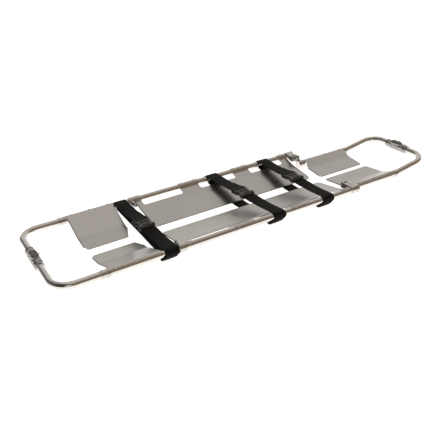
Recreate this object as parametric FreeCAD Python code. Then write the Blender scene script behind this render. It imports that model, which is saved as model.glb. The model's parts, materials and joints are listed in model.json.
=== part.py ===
"""Folding scoop stretcher: two mirrored aluminium halves that latch together at both ends.

Frame: millimetres, +X from the head end to the foot end, +Y towards the far half, +Z up.
The origin is on the ground, under the middle of the stretcher.
Every piece of the far half is drawn once and mirrored for the near half.
"""
import FreeCAD, Part
import math
import os

V = FreeCAD.Vector

# ---- overall sizes -------------------------------------------------------------------------------
END_SPAN = 1589.0          # head end tube axis to foot end tube axis, retracted
RAIL_SPACING = 405.0       # torso and head rail axis to rail axis
LEG_INSET = 52.5           # leg rail's axis inboard of the torso rail's

# ---- tubes ---------------------------------------------------------------------------------------
TUBE_OD = 25.4
TUBE_WALL = 1.6
TELESCOPE_CLEARANCE = 0.3  # radial, slide tube in torso rail
SLIDE_WALL = 1.6
HEAD_CORNER_R = 62.0       # centre line of the head loop's corners
FOOT_STRAIGHT = 24.0       # straight tube between the foot housing and its corner
HOUSING_RING = 6.0         # ring round the tube at the housing's far end
SEAT = 0.05                # radial gap of pieces seated on a tube
RUN_GAP = 0.3              # between pieces that move past each other
OVERCUT = 1.0              # how far a cutting shape runs past the face that it opens
HIGH = 200.0               # taller than any cut through the plates

# ---- load plates ---------------------------------------------------------------------------------
SHEET = 1.6
HEM_R = 1.7                # centre line of the rolled hem
HEM_LIP = 9.0
BEND_R = 45.0
HEAD_PANEL_LENGTH = 173.0
HEAD_INNER_Y = 23.0
HEAD_HEM_Z = 0.0           # underside of the head plate's hem: it rests on the ground
HEAD_BENDS = ((107.5, 26.5, BEND_R),)   # inboard of and below the rail's axis, bend radius
HEAD_WRAP_DEG = 48.0       # where the sheet stops on the rail, from horizontal outboard
TORSO_PANEL_LENGTH = 692.0
TORSO_INNER_Y = 24.0
TORSO_HEM_Z = 4.0
TORSO_BENDS = ((58.5, 15.0, BEND_R), (17.0, 1.6, 6.0))
TORSO_WRAP_DEG = 30.0
LEG_PANEL_LENGTH = 234.0
LEG_INNER_Y = 12.5
LEG_HEM_Z = 1.0
LEG_BENDS = ((50.0, 4.7, BEND_R),)
LEG_WRAP_DEG = 72.0
SLOT_REACH = 40.0          # slot's inner edge, inboard of the rail's axis
SLOT_CORNER_R = 8.0
SLOT_LAYOUT = ((22.0, 165.0), (267.0, 160.0), (501.0, 156.0))   # start on the plate, length
PLATE_CORNER_R = 10.0
HEAD_CUT = (8.0, 14.0)     # small cut corner by the head end: along the stretcher, across it
HEAD_GUSSET = (18.0, 42.0) # long cut corner by the torso: along, across
HEAD_GUSSET_LEAN = 3.0
HEAD_CUT_R = 5.0
LEG_TAPER = (16.0, 10.0)   # foot end of the leg plate: along, and how far it stops from the rail
LEG_TAPER_R = 7.0
LEG_NOTCH = (10.0, 22.0)   # notch round the knuckle: slope along, distance from the tube
LEG_NOTCH_GAP = 8.0        # between the plate and the knuckle
LEG_NOTCH_R = 12.0
LEG_NOTCH_INNER_R = 6.0

# ---- rivets --------------------------------------------------------------------------------------
RIVET_R = 1.9
RIVET_HEAD_R = 3.8
RIVET_HEAD_H = 1.3
RIVET_MARGIN = 12.0        # from the end of a wrap to its rivet
SHORT_WRAP = 50.0          # a wrap shorter than this has one rivet
HEAD_RIVET_DEG = 62.0      # rivets' direction from the rail's axis, from horizontal outboard
TORSO_RIVET_DEG = 58.0
LEG_RIVET_DEG = 82.0
HEAD_RIVET_MARGIN = 16.0
LEG_RIVET_MARGIN = 20.0
PLATE_RIVETS = 3

# ---- castings on the rails -----------------------------------------------------------------------
RING_WALL = 2.9
HEAD_RING_WALL = 2.2
HEAD_COLLAR_START = 140.0  # from the head end tube's axis
HEAD_COLLAR_LENGTH = 30.0
COLLAR_HEAD_BAND = 8.0     # raised bands at the collar's two ends
COLLAR_FOOT_BAND = 10.0
COLLAR_STEP = 0.9
LOCK_RING_LENGTH = 24.0
LOCK_BOSS_R = 8.5
LOCK_BOSS_LENGTH = 21.3    # beyond the rail's surface
LOCK_BORE_R = 6.0
LOCK_CAP = 4.0
PIN_R = 3.4
PIN_FLANGE_R = 5.6
PIN_FLANGE = 2.0
KNOB_R = 8.0
KNOB_LENGTH = 9.0
KNOB_ROUND = 1.8
KNOB_GAP = 1.0             # between the boss and the knob
PIN_TIP_GAP = 0.2          # pin's tip stops this far short of the slide tube's surface
FLANGE_GAP = 1.2           # between the rail's surface and the pin's flange
LOCK_SPRING_R = 4.6
LOCK_SPRING_WIRE = 0.5
LOCK_SPRING_TURNS = 4
SPRING_GAP = 0.2

# ---- leg hinge -----------------------------------------------------------------------------------
PIVOT_RISE = 4.0           # pivot axis above the rail's axis
EYE_R = 11.0
SOCKET_GAP = 4.7           # leg socket's top below the clevis
HINGE_PIN_R = 4.0
PIN_HEAD_R = 7.5
PIN_TAIL_R = 6.0
PIN_HEAD = 2.5
KNUCKLE_PLATE = 7.0
LUG_PLATE = 5.5
HINGE_GAP = 0.6
CLEVIS_BACK = 28.0         # back of the clevis, headward of the pivot
CLEVIS_WALL = 6.0
KNUCKLE_SOCKET = 30.0
KNUCKLE_START = 1.0        # knuckle's socket begins this far footward of the pivot
KNUCKLE_FLOOR = 3.0        # wall that closes the socket
KNUCKLE_WEB_END = 4.0      # plate stops this far short of the socket's mouth
KNUCKLE_OUTBOARD = 2.0     # plate's outer face beyond the leg rail's surface
KNUCKLE_TRIM = 0.5         # knuckle's eye smaller than the clevis's
PIN_FIT = 0.05             # radial gap of a turning pin
CLEVIS_TAIL = 2.5          # clevis's ring beyond the end of the torso rail
PIN_HEAD_ROUND = 1.2
RAIL_END_GAP = 0.5         # between the leg rail and the socket's floor
FOOT_RING_LENGTH = 16.0
FOOT_RING_WALL = 2.0

# ---- end couplings -------------------------------------------------------------------------------
HOUSING_DEPTH = 40.0
HOUSING_HEIGHT = 38.0
HOUSING_EDGE_R = 7.0
HOUSING_NEAR = 36.0        # near face of the housing, from the centre
HEAD_HOUSING_FAR = 66.0
FOOT_HOUSING_FAR = 58.0
TUBE_SOCKET = 20.0
TONGUE_WIDTH = 24.0
TONGUE_HEIGHT = 19.0
TONGUE_REACH = 17.0        # tongue's tip past the centre
TONGUE_CLEARANCE = 0.5
COLLAR_LENGTH = 14.0
LEVER_WIDTH = 17.0
LEVER_NEAR = 13.0
LEVER_FAR = 34.0
LEVER_THICK = 4.0
LEVER_PIVOT_Y = 8.0
LEVER_EYE_R = 3.3
LEVER_PIN_R = 2.0
RECESS_DEPTH = 7.2
LEVER_SPRING_Y = 27.0
LEVER_SPRING_R = 3.2
SPRING_POCKET = 8.0
LEVER_SINK = 0.5           # lever's top below the housing's
LEVER_EYE_RISE = 1.0       # lever's pivot above its underside
LEVER_ROUND = 1.2
RECESS_SIDE_GAP = 0.6
RECESS_END_GAP = 1.5
RECESS_NEAR_GAP = 1.0
POCKET_GAP = 1.2           # spring's pocket round the spring
TOOTH_WIDTH = 8.4
TOOTH_LENGTH = 6.0
TOOTH_BITE = 1.2           # tooth's tip below the recess's floor
TOOTH_SIDE_GAP = 0.8
TOOTH_ROOM = 3.0           # window for the tooth longer than it
NOTCH_DEPTH = 5.0
NOTCH_ROOM = 2.0           # notch in the tongue longer than the tooth
LEVER_SPRING_WIRE = 0.45
LEVER_SPRING_TURNS = 5
TONGUE_CHAMFER = 2.5
TONGUE_FACE_GAP = 0.4      # between the two halves' faces
COLLAR_FLOOR = 3.0         # wall of the tongue's collar that the tube stops at
SPIGOT_LENGTH = 27.0       # plug of the tongue inside the near tube, beyond the collar's floor

# ---- straps and buckles --------------------------------------------------------------------------
WEB_WIDTH = 50.0
WEB_THICK = 2.0
WEB_GAP = 0.3
WEB_LOW_Z = 2.2            # middle of the webbing where it passes under the plates
STRAP_MARGIN = 3.0         # from the first strap's edge to the head loop's end and the lock ring
HEAD_STRAP_SKEW = 5.0      # how far the first strap's near end leans footward
BUCKLE_RIM = 5.0           # buckle beyond the webbing's edge
BUCKLE_THICK = 13.0
SOCKET_BACK = 46.0
SOCKET_MOUTH = 9.5
CLIP_SHOULDER = 11.0
CLIP_LENGTH = 22.0
PRONG_LENGTH = 33.0
PRONG_THICK = 3.6
PRONG_WIDTH = 6.5
PRONG_INSET = 3.0          # prong's outer side inside the webbing's edge
GUIDE_WIDTH = 8.0
GUIDE_SHORT = 5.0          # guide's tip behind the prongs'
PRONG_GAP = 0.4            # above and below the prongs
SOCKET_ROUND = 4.5
CAVITY_SIDE_GAP = 0.5
CAVITY_END_GAP = 2.0
CAVITY_ROOF = 0.2
CLIP_NARROW = 1.0          # clip's base narrower than the socket on each side
CLIP_THIN = 0.5            # and thinner, above and below
CLIP_ROUND = 3.5
TUNNEL_SIDE_GAP = 0.6
FAR_WEB_IN_CLIP = 3.0      # webbing's end inside the clip's tunnel
NEAR_WEB_IN_SOCKET = 6.0
LOW_TURN = 12.0            # where the run below turns level, outboard of the plate's edge

# ---- lengths between neighbours along the rails --------------------------------------------------
PANEL_END_GAP = 2.0        # each side of the head plate
LOCK_TO_PANEL = 1.0
RAIL_TAIL = 41.0           # torso rail beyond its plate, less the gap at its head end
SLIDE_START_GAP = 10.0     # slide tube begins inside the head collar
SLIDE_ENGAGEMENT = 472.0   # slide tube inside the torso rail, retracted
PIVOT_BACK = 5.0           # leg pivot headward of the rail's end
LEG_PANEL_GAP = 12.0       # leg plate footward of the pivot
FOOT_RING_GAP = 3.0        # between the leg plate and the foot ring
KINK_END_GAP = 0.5         # between the leg rail and the foot loop, at their closest
SECOND_STRAP = (69.0, 100.0, 76.0)   # far, near and low place of the strap along its slot
THIRD_STRAP = (80.0, 84.0, 78.0)

# ---- worked out from the sizes above -------------------------------------------------------------
TUBE_R = TUBE_OD / 2
TUBE_BORE_R = TUBE_R - TUBE_WALL
SLIDE_R = TUBE_BORE_R - TELESCOPE_CLEARANCE
WRAP_R = TUBE_R + SEAT + SHEET / 2
RAIL_Y = RAIL_SPACING / 2
LEG_Y = RAIL_Y - LEG_INSET
LEG_Z = TUBE_R                                     # the leg rails lie on the ground
PIVOT_Z = LEG_Z + TUBE_R + RING_WALL + SOCKET_GAP + EYE_R
RAIL_Z = PIVOT_Z - PIVOT_RISE
SLOT_INNER_Y = RAIL_Y - SLOT_REACH
LOCK_BOSS_REACH = TUBE_R + LOCK_BOSS_LENGTH        # boss end, inboard of the rail's axis
PRONG_SPAN = WEB_WIDTH - 2 * PRONG_INSET
BUCKLE_WIDTH = WEB_WIDTH + 2 * BUCKLE_RIM

# stations along the stretcher, from the head end tube's axis
HEAD_PANEL_START = HEAD_COLLAR_START + HEAD_COLLAR_LENGTH + PANEL_END_GAP
HEAD_LOOP_STOP = HEAD_PANEL_START + HEAD_PANEL_LENGTH + PANEL_END_GAP
TORSO_START = HEAD_LOOP_STOP + WEB_WIDTH + HEAD_STRAP_SKEW + 2 * STRAP_MARGIN
TORSO_PANEL_START = TORSO_START + LOCK_RING_LENGTH + LOCK_TO_PANEL
TORSO_LENGTH = LOCK_RING_LENGTH + TORSO_PANEL_LENGTH + RAIL_TAIL
SLIDE_TUBE_START = HEAD_COLLAR_START + SLIDE_START_GAP
PIVOT_STATION = TORSO_START + TORSO_LENGTH - PIVOT_BACK
LEG_PANEL_START = PIVOT_STATION + LEG_PANEL_GAP
LEG_KINK_STATION = LEG_PANEL_START + LEG_PANEL_LENGTH + FOOT_RING_LENGTH / 2 + FOOT_RING_GAP
SLOTS = [(TORSO_PANEL_START + start, length) for start, length in SLOT_LAYOUT]
FIRST_STRAP = HEAD_LOOP_STOP + STRAP_MARGIN + WEB_WIDTH / 2
# far station, near station, station of the run below in the gap between the halves
STRAPS = (
    (FIRST_STRAP, FIRST_STRAP + HEAD_STRAP_SKEW, FIRST_STRAP + HEAD_STRAP_SKEW / 2),
    tuple(SLOTS[1][0] + along for along in SECOND_STRAP),
    tuple(SLOTS[2][0] + along for along in THIRD_STRAP),
)

FOOT_RISE = math.atan2(RAIL_Z - LEG_Z, END_SPAN - LEG_KINK_STATION)
HEAD_OVERHANG = HOUSING_DEPTH / 2
FOOT_OVERHANG = (
    (HOUSING_DEPTH / 2 - HOUSING_EDGE_R) * math.cos(FOOT_RISE)
    + (HOUSING_HEIGHT / 2 - HOUSING_EDGE_R) * math.sin(FOOT_RISE)
    + HOUSING_EDGE_R
)
HEAD_X = -(END_SPAN + FOOT_OVERHANG - HEAD_OVERHANG) / 2    # puts the origin at mid length
FOOT_X = HEAD_X + END_SPAN
PIVOT_X = HEAD_X + PIVOT_STATION
KINK_X = HEAD_X + LEG_KINK_STATION
KINK_GAP = TUBE_R * math.tan(FOOT_RISE) + KINK_END_GAP
FOOT_CORNER_R = LEG_Y - FOOT_HOUSING_FAR - HOUSING_RING - FOOT_STRAIGHT


def station(s):
    """X of a place s millimetres from the head end tube's axis."""
    return HEAD_X + s


# ---- flat outlines -------------------------------------------------------------------------------
def polar(centre, radius, angle):
    """Point of a circle in the cross-section plane, angle in radians."""
    return (centre[0] + radius * math.cos(angle), centre[1] + radius * math.sin(angle))


def heading(a, b):
    """Direction of the way from a to b, in radians."""
    return math.atan2(b[1] - a[1], b[0] - a[0])


def line_segment(a, b):
    return ("line", a, b)


def arc_segment(centre, radius, start, end):
    return ("arc", centre, radius, start, end)


def offset_edge(segment, shift, x):
    """Edge of a cross-section segment moved to its left by shift, in the plane X = x."""
    if segment[0] == "line":
        a, b = segment[1], segment[2]
        left = heading(a, b) + math.pi / 2
        p = polar(a, shift, left)
        q = polar(b, shift, left)
        return Part.LineSegment(V(x, *p), V(x, *q)).toShape()
    centre, radius, start, end = segment[1:]
    turn = 1 if end > start else -1
    r = radius - turn * shift
    p = polar(centre, r, start)
    m = polar(centre, r, (start + end) / 2)
    q = polar(centre, r, end)
    return Part.Arc(V(x, *p), V(x, *m), V(x, *q)).toShape()


def strip(path, thickness, x, length):
    """Solid sheet of even thickness that follows a path in the cross-section, drawn out along X."""
    left = [offset_edge(s, thickness / 2, x) for s in path]
    right = [offset_edge(s, -thickness / 2, x) for s in path]
    start = Part.makeLine(right[0].Vertexes[0].Point, left[0].Vertexes[0].Point)
    end = Part.makeLine(left[-1].Vertexes[-1].Point, right[-1].Vertexes[-1].Point)
    wire = Part.Wire(Part.__sortEdges__(left + [end] + right[::-1] + [start]))
    return Part.Face(wire).extrude(V(length, 0, 0))


def rounded_outline(points, radii, z):
    """Closed wire in the plane Z = z through the points, each corner rounded by its radius."""
    edges = []
    count = len(points)
    ends = []
    for i in range(count):
        corner = V(points[i][0], points[i][1], z)
        before = V(points[i - 1][0], points[i - 1][1], z)
        after = V(points[(i + 1) % count][0], points[(i + 1) % count][1], z)
        to_before = (before - corner).normalize()
        to_after = (after - corner).normalize()
        if radii[i] == 0:
            ends.append((corner, corner, corner))
            continue
        half = to_before.getAngle(to_after) / 2
        reach = radii[i] / math.tan(half)
        centre = corner + (to_before + to_after).normalize() * (radii[i] / math.sin(half))
        middle = centre + (corner - centre).normalize() * radii[i]
        ends.append((corner + to_before * reach, middle, corner + to_after * reach))
    for i in range(count):
        a, m, b = ends[i]
        if radii[i] > 0:
            edges.append(Part.Arc(a, m, b).toShape())
        edges.append(Part.makeLine(b, ends[(i + 1) % count][0]))
    return Part.Wire(edges)


def prism(points, radii, z_low, z_high):
    """Upright solid over a rounded outline."""
    return Part.Face(rounded_outline(points, radii, z_low)).extrude(V(0, 0, z_high - z_low))


def block(x0, x1, y0, y1, z0, z1):
    return Part.makeBox(x1 - x0, y1 - y0, z1 - z0, V(x0, y0, z0))


def rod_x(radius, x0, x1, y, z):
    return Part.makeCylinder(radius, x1 - x0, V(x0, y, z), V(1, 0, 0))


def rod_y(radius, y0, y1, x, z):
    return Part.makeCylinder(radius, y1 - y0, V(x, y0, z), V(0, 1, 0))


def ring_x(outer, inner, x0, x1, y, z):
    return rod_x(outer, x0, x1, y, z).cut(rod_x(inner, x0, x1, y, z))


def soften(shape, radius, keep):
    """Round the edges of a shape whose middle point passes the test keep."""
    edges = [e for e in shape.Edges if keep(e.CenterOfMass)]
    return shape.makeFillet(radius, edges)


def bent_tube(points, corner_r, outer, bore):
    """Round tube along straight runs joined by tangent bends."""
    run = []
    at = points[0]
    for i in range(1, len(points) - 1):
        back = (points[i - 1] - points[i]).normalize()
        on = (points[i + 1] - points[i]).normalize()
        half = back.getAngle(on) / 2
        reach = corner_r / math.tan(half)
        centre = points[i] + (back + on).normalize() * (corner_r / math.sin(half))
        middle = centre + (points[i] - centre).normalize() * corner_r
        run.append(Part.makeLine(at, points[i] + back * reach))
        run.append(Part.Arc(points[i] + back * reach, middle, points[i] + on * reach).toShape())
        at = points[i] + on * reach
    run.append(Part.makeLine(at, points[-1]))
    spine = Part.Wire(run)
    along = points[1] - points[0]
    solids = []
    for radius in (outer, bore):
        circle = Part.Wire(Part.makeCircle(radius, points[0], along))
        solids.append(spine.makePipeShell([circle], True, False))
    return solids[0].cut(solids[1])


def coil(base, axis, length, radius, wire_r, turns):
    """Open helical spring from base along axis."""
    helix = Part.makeHelix((length - 2 * wire_r) / turns, length - 2 * wire_r, radius)
    circle = Part.Wire(Part.makeCircle(wire_r, V(radius, 0, 0), V(0, 1, 0)))
    spring = Part.Wire(helix).makePipeShell([circle], True, True)
    spring.translate(V(0, 0, wire_r))
    spring.Placement = FreeCAD.Placement(base, FreeCAD.Rotation(V(0, 0, 1), axis)) * spring.Placement
    return spring


# ---- load plates ---------------------------------------------------------------------------------
def plate_path(inner_y, hem_z, bends, rail, wrap_deg):
    """Cross-section of a load plate: lip, rolled hem, dished plate with its bends, roll over the rail."""
    corners = [(rail[0] - inboard, rail[1] - below) for inboard, below, _ in bends]
    hem = (inner_y + HEM_R + SHEET / 2, hem_z + SHEET / 2 + HEM_R)
    rise = heading(hem, corners[0]) - math.asin(HEM_R / math.dist(hem, corners[0]))
    rise_out = heading(corners[-1], rail) + math.asin(WRAP_R / math.dist(corners[-1], rail))
    rises = [heading(a, b) for a, b in zip(corners, corners[1:])] + [rise_out]
    quarter = math.pi / 2
    path = [
        line_segment((hem[0] + HEM_LIP, hem[1] - HEM_R), (hem[0], hem[1] - HEM_R)),
        arc_segment(hem, HEM_R, -quarter, rise + quarter - 2 * math.pi),
    ]
    at = polar(hem, HEM_R, rise + quarter)
    for corner, (_, _, radius), rise_next in zip(corners, bends, rises):
        reach = radius * math.tan((rise_next - rise) / 2)
        bend_start = polar(corner, -reach, rise)
        path.append(line_segment(at, bend_start))
        centre = polar(bend_start, radius, rise + quarter)
        path.append(arc_segment(centre, radius, rise - quarter, rise_next - quarter))
        at = polar(corner, reach, rise_next)
        rise = rise_next
    path.append(line_segment(at, polar(rail, WRAP_R, rise_out + quarter)))
    path.append(arc_segment(rail, WRAP_R, rise_out + quarter, math.radians(wrap_deg)))
    return path


def rivet(x, rail_y, rail_z, angle_deg):
    """Blind rivet through the rolled sheet and the rail's wall, pointing out from the rail's axis."""
    out = V(0, math.cos(math.radians(angle_deg)), math.sin(math.radians(angle_deg)))
    axis_point = V(x, rail_y, rail_z)
    top = WRAP_R + SHEET / 2
    shank = Part.makeCylinder(RIVET_R, top - TUBE_BORE_R, axis_point + out * TUBE_BORE_R, out)
    head = Part.makeCone(RIVET_HEAD_R, RIVET_HEAD_R - RIVET_HEAD_H, RIVET_HEAD_H,
                         axis_point + out * top, out)
    return shank.fuse(head)


def rivet_shanks(stations, rail_y, rail_z, angle_deg, radius):
    """Holes for a row of rivets."""
    out = V(0, math.cos(math.radians(angle_deg)), math.sin(math.radians(angle_deg)))
    length = 2 * SHEET + TUBE_R
    return [Part.makeCylinder(radius, length, V(station(s), rail_y, rail_z), out) for s in stations]


def head_panel():
    path = plate_path(HEAD_INNER_Y, HEAD_HEM_Z, HEAD_BENDS, (RAIL_Y, RAIL_Z), HEAD_WRAP_DEG)
    x0 = station(HEAD_PANEL_START)
    x1 = x0 + HEAD_PANEL_LENGTH
    sheet = strip(path, SHEET, x0, HEAD_PANEL_LENGTH)
    outline = [
        (x0 + HEAD_CUT[0], HEAD_INNER_Y), (x1 - HEAD_GUSSET[0], HEAD_INNER_Y),
        (x1 - HEAD_GUSSET_LEAN, HEAD_INNER_Y + HEAD_GUSSET[1]), (x1, RAIL_Y),
        (x1, RAIL_Y + TUBE_OD), (x0, RAIL_Y + TUBE_OD), (x0, HEAD_INNER_Y + HEAD_CUT[1]),
    ]
    radii = [HEAD_CUT_R, HEAD_CUT_R, PLATE_CORNER_R, 0, 0, 0, HEAD_CUT_R]
    return sheet.common(prism(outline, radii, -HIGH, HIGH))


def torso_panel():
    path = plate_path(TORSO_INNER_Y, TORSO_HEM_Z, TORSO_BENDS, (RAIL_Y, RAIL_Z), TORSO_WRAP_DEG)
    x0 = station(TORSO_PANEL_START)
    x1 = x0 + TORSO_PANEL_LENGTH
    sheet = strip(path, SHEET, x0, TORSO_PANEL_LENGTH)
    outline = [
        (x0, TORSO_INNER_Y), (x1, TORSO_INNER_Y), (x1, RAIL_Y + TUBE_OD), (x0, RAIL_Y + TUBE_OD),
    ]
    sheet = sheet.common(prism(outline, [PLATE_CORNER_R, PLATE_CORNER_R, 0, 0], -HIGH, HIGH))
    for start, length in SLOTS:
        a = station(start)
        b = a + length
        slot = [(a, SLOT_INNER_Y), (b, SLOT_INNER_Y), (b, RAIL_Y + TUBE_OD), (a, RAIL_Y + TUBE_OD)]
        sheet = sheet.cut(prism(slot, [SLOT_CORNER_R, SLOT_CORNER_R, 0, 0], -HIGH, HIGH))
    return sheet


def leg_panel():
    path = plate_path(LEG_INNER_Y, LEG_HEM_Z, LEG_BENDS, (LEG_Y, LEG_Z), LEG_WRAP_DEG)
    x0 = station(LEG_PANEL_START)
    x1 = x0 + LEG_PANEL_LENGTH
    sheet = strip(path, SHEET, x0, LEG_PANEL_LENGTH)
    clear = x0 + KNUCKLE_SOCKET - LEG_NOTCH_GAP
    outline = [
        (x0, LEG_INNER_Y), (x1 - LEG_TAPER[0], LEG_INNER_Y), (x1, LEG_Y - LEG_TAPER[1]),
        (x1, LEG_Y + TUBE_OD), (clear, LEG_Y + TUBE_OD), (clear, LEG_Y - TUBE_R - LEG_NOTCH_GAP),
        (x0 + LEG_NOTCH[0], LEG_Y - TUBE_R - LEG_NOTCH[1]),
    ]
    radii = [PLATE_CORNER_R, LEG_TAPER_R, LEG_NOTCH_R, 0, 0, LEG_NOTCH_INNER_R, LEG_NOTCH_R]
    return sheet.common(prism(outline, radii, -HIGH, HIGH))


def wrap_spans():
    """Lengths of the torso rail that the sheet rolls over, between the slots."""
    edges = [TORSO_PANEL_START]
    for start, length in SLOTS:
        edges += [start, start + length]
    edges.append(TORSO_PANEL_START + TORSO_PANEL_LENGTH)
    return list(zip(edges[0::2], edges[1::2]))


def torso_rivet_stations():
    places = []
    for a, b in wrap_spans():
        if b - a > SHORT_WRAP:
            places += [a + RIVET_MARGIN, b - RIVET_MARGIN]
        else:
            places.append((a + b) / 2)
    return places


def even_stations(start, length, count, margin):
    step = (length - 2 * margin) / (count - 1)
    return [start + margin + i * step for i in range(count)]


# ---- torso of the far half -----------------------------------------------------------------------
LOCK_X = TORSO_START + LOCK_RING_LENGTH / 2
PIN_TIP = TUBE_BORE_R + PIN_TIP_GAP
PIN_FLANGE_AT = TUBE_R + FLANGE_GAP


def lock_spot(out):
    """Place on the lock pin's axis, out millimetres inboard of the rail's axis."""
    return V(station(LOCK_X), RAIL_Y - out, RAIL_Z)


def lock_cylinder(radius, start, end):
    return Part.makeCylinder(radius, end - start, lock_spot(start), V(0, -1, 0))


def make_torso_rail():
    x0 = station(TORSO_START)
    tube = ring_x(TUBE_R, TUBE_BORE_R, x0, x0 + TORSO_LENGTH, RAIL_Y, RAIL_Z)
    tube = tube.cut(lock_cylinder(PIN_R + RUN_GAP, 0, 2 * TUBE_R))
    for hole in rivet_shanks(torso_rivet_stations(), RAIL_Y, RAIL_Z, TORSO_RIVET_DEG, RIVET_R):
        tube = tube.cut(hole)
    return tube


def make_lock_housing():
    x0 = station(TORSO_START)
    body = rod_x(TUBE_R + RING_WALL, x0, x0 + LOCK_RING_LENGTH, RAIL_Y, RAIL_Z)
    body = body.fuse(lock_cylinder(LOCK_BOSS_R, 0, LOCK_BOSS_REACH))
    body = body.cut(rod_x(TUBE_R + SEAT, x0, x0 + LOCK_RING_LENGTH, RAIL_Y, RAIL_Z))
    body = body.cut(lock_cylinder(LOCK_BORE_R, 0, LOCK_BOSS_REACH - LOCK_CAP))
    return body.cut(lock_cylinder(PIN_R + RUN_GAP, 0, 2 * LOCK_BOSS_REACH))


def make_lock_pin():
    knob_start = LOCK_BOSS_REACH + KNOB_GAP
    shaft = lock_cylinder(PIN_R, PIN_TIP, knob_start + OVERCUT)
    flange = lock_cylinder(PIN_FLANGE_R, PIN_FLANGE_AT, PIN_FLANGE_AT + PIN_FLANGE)
    knob = lock_cylinder(KNOB_R, knob_start, knob_start + KNOB_LENGTH)
    knob = knob.makeFillet(KNOB_ROUND, [e for e in knob.Edges if e.Length > KNOB_LENGTH * 2])
    return shaft.fuse(flange).fuse(knob)


def make_lock_spring():
    start = PIN_FLANGE_AT + PIN_FLANGE + SPRING_GAP
    length = LOCK_BOSS_REACH - LOCK_CAP - SPRING_GAP - start
    return coil(lock_spot(start), V(0, -1, 0), length, LOCK_SPRING_R, LOCK_SPRING_WIRE, LOCK_SPRING_TURNS)


KNUCKLE_OUT = LEG_Y + TUBE_R + KNUCKLE_OUTBOARD
KNUCKLE_IN = KNUCKLE_OUT - KNUCKLE_PLATE
CLEVIS_IN = KNUCKLE_IN - HINGE_GAP - LUG_PLATE
CLEVIS_OUT = KNUCKLE_OUT + HINGE_GAP + LUG_PLATE


def make_hinge_clevis():
    back = PIVOT_X - CLEVIS_BACK
    top = PIVOT_Z + EYE_R
    low = PIVOT_Z - EYE_R
    body = block(back, PIVOT_X, CLEVIS_IN, RAIL_Y, low, top)
    body = body.fuse(rod_y(EYE_R, CLEVIS_IN, CLEVIS_OUT, PIVOT_X, PIVOT_Z))
    pocket = block(back + CLEVIS_WALL, PIVOT_X + 2 * EYE_R, KNUCKLE_IN - HINGE_GAP,
                   KNUCKLE_OUT + HINGE_GAP, low - OVERCUT, top + OVERCUT)
    body = body.cut(pocket)
    ring_end = station(TORSO_START + TORSO_LENGTH)
    body = body.fuse(rod_x(TUBE_R + RING_WALL, back, ring_end + CLEVIS_TAIL, RAIL_Y, RAIL_Z))
    body = body.cut(rod_x(TUBE_R + SEAT, back - OVERCUT, ring_end, RAIL_Y, RAIL_Z))
    body = body.cut(rod_y(PIN_TAIL_R + SEAT, CLEVIS_OUT, CLEVIS_OUT + PIN_HEAD + SEAT, PIVOT_X, PIVOT_Z))
    return body.cut(rod_y(HINGE_PIN_R, CLEVIS_IN - OVERCUT, CLEVIS_OUT + OVERCUT, PIVOT_X, PIVOT_Z))


def make_hinge_pin():
    pin = rod_y(HINGE_PIN_R, CLEVIS_IN - PIN_HEAD, CLEVIS_OUT + PIN_HEAD, PIVOT_X, PIVOT_Z)
    head = rod_y(PIN_HEAD_R, CLEVIS_IN - PIN_HEAD, CLEVIS_IN, PIVOT_X, PIVOT_Z)
    head = head.makeFillet(PIN_HEAD_ROUND, [head.Edges[2]])
    tail = rod_y(PIN_TAIL_R, CLEVIS_OUT, CLEVIS_OUT + PIN_HEAD, PIVOT_X, PIVOT_Z)
    return pin.fuse(head).fuse(tail)


# ---- head of the far half ------------------------------------------------------------------------
def make_head_loop(y_start):
    points = [V(HEAD_X, y_start, RAIL_Z), V(HEAD_X, RAIL_Y, RAIL_Z),
              V(station(HEAD_LOOP_STOP), RAIL_Y, RAIL_Z)]
    tube = bent_tube(points, HEAD_CORNER_R, TUBE_R, TUBE_BORE_R)
    for hole in rivet_shanks(head_rivet_stations(), RAIL_Y, RAIL_Z, HEAD_RIVET_DEG, RIVET_R):
        tube = tube.cut(hole)
    return tube


def head_rivet_stations():
    return even_stations(HEAD_PANEL_START, HEAD_PANEL_LENGTH, PLATE_RIVETS, HEAD_RIVET_MARGIN)


def make_head_collar():
    x0 = station(HEAD_COLLAR_START)
    x1 = x0 + HEAD_COLLAR_LENGTH
    outer = TUBE_R + HEAD_RING_WALL
    waist = (x0 + COLLAR_HEAD_BAND, x1 - COLLAR_FOOT_BAND)
    body = rod_x(outer, x0, waist[0], RAIL_Y, RAIL_Z)
    body = body.fuse(rod_x(outer - COLLAR_STEP, waist[0], waist[1], RAIL_Y, RAIL_Z))
    body = body.fuse(rod_x(outer, waist[1], x1, RAIL_Y, RAIL_Z))
    return body.cut(rod_x(TUBE_R + SEAT, x0, x1, RAIL_Y, RAIL_Z))


def make_slide_tube():
    x0 = station(SLIDE_TUBE_START)
    x1 = station(TORSO_START + SLIDE_ENGAGEMENT)
    return ring_x(SLIDE_R, SLIDE_R - SLIDE_WALL, x0, x1, RAIL_Y, RAIL_Z)


# ---- leg of the far half -------------------------------------------------------------------------
def below_ground():
    """Everything under the floor, to cut the castings on the leg rail flat."""
    return block(HEAD_X, FOOT_X, 0, RAIL_Y, -TUBE_OD, 0)


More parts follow.
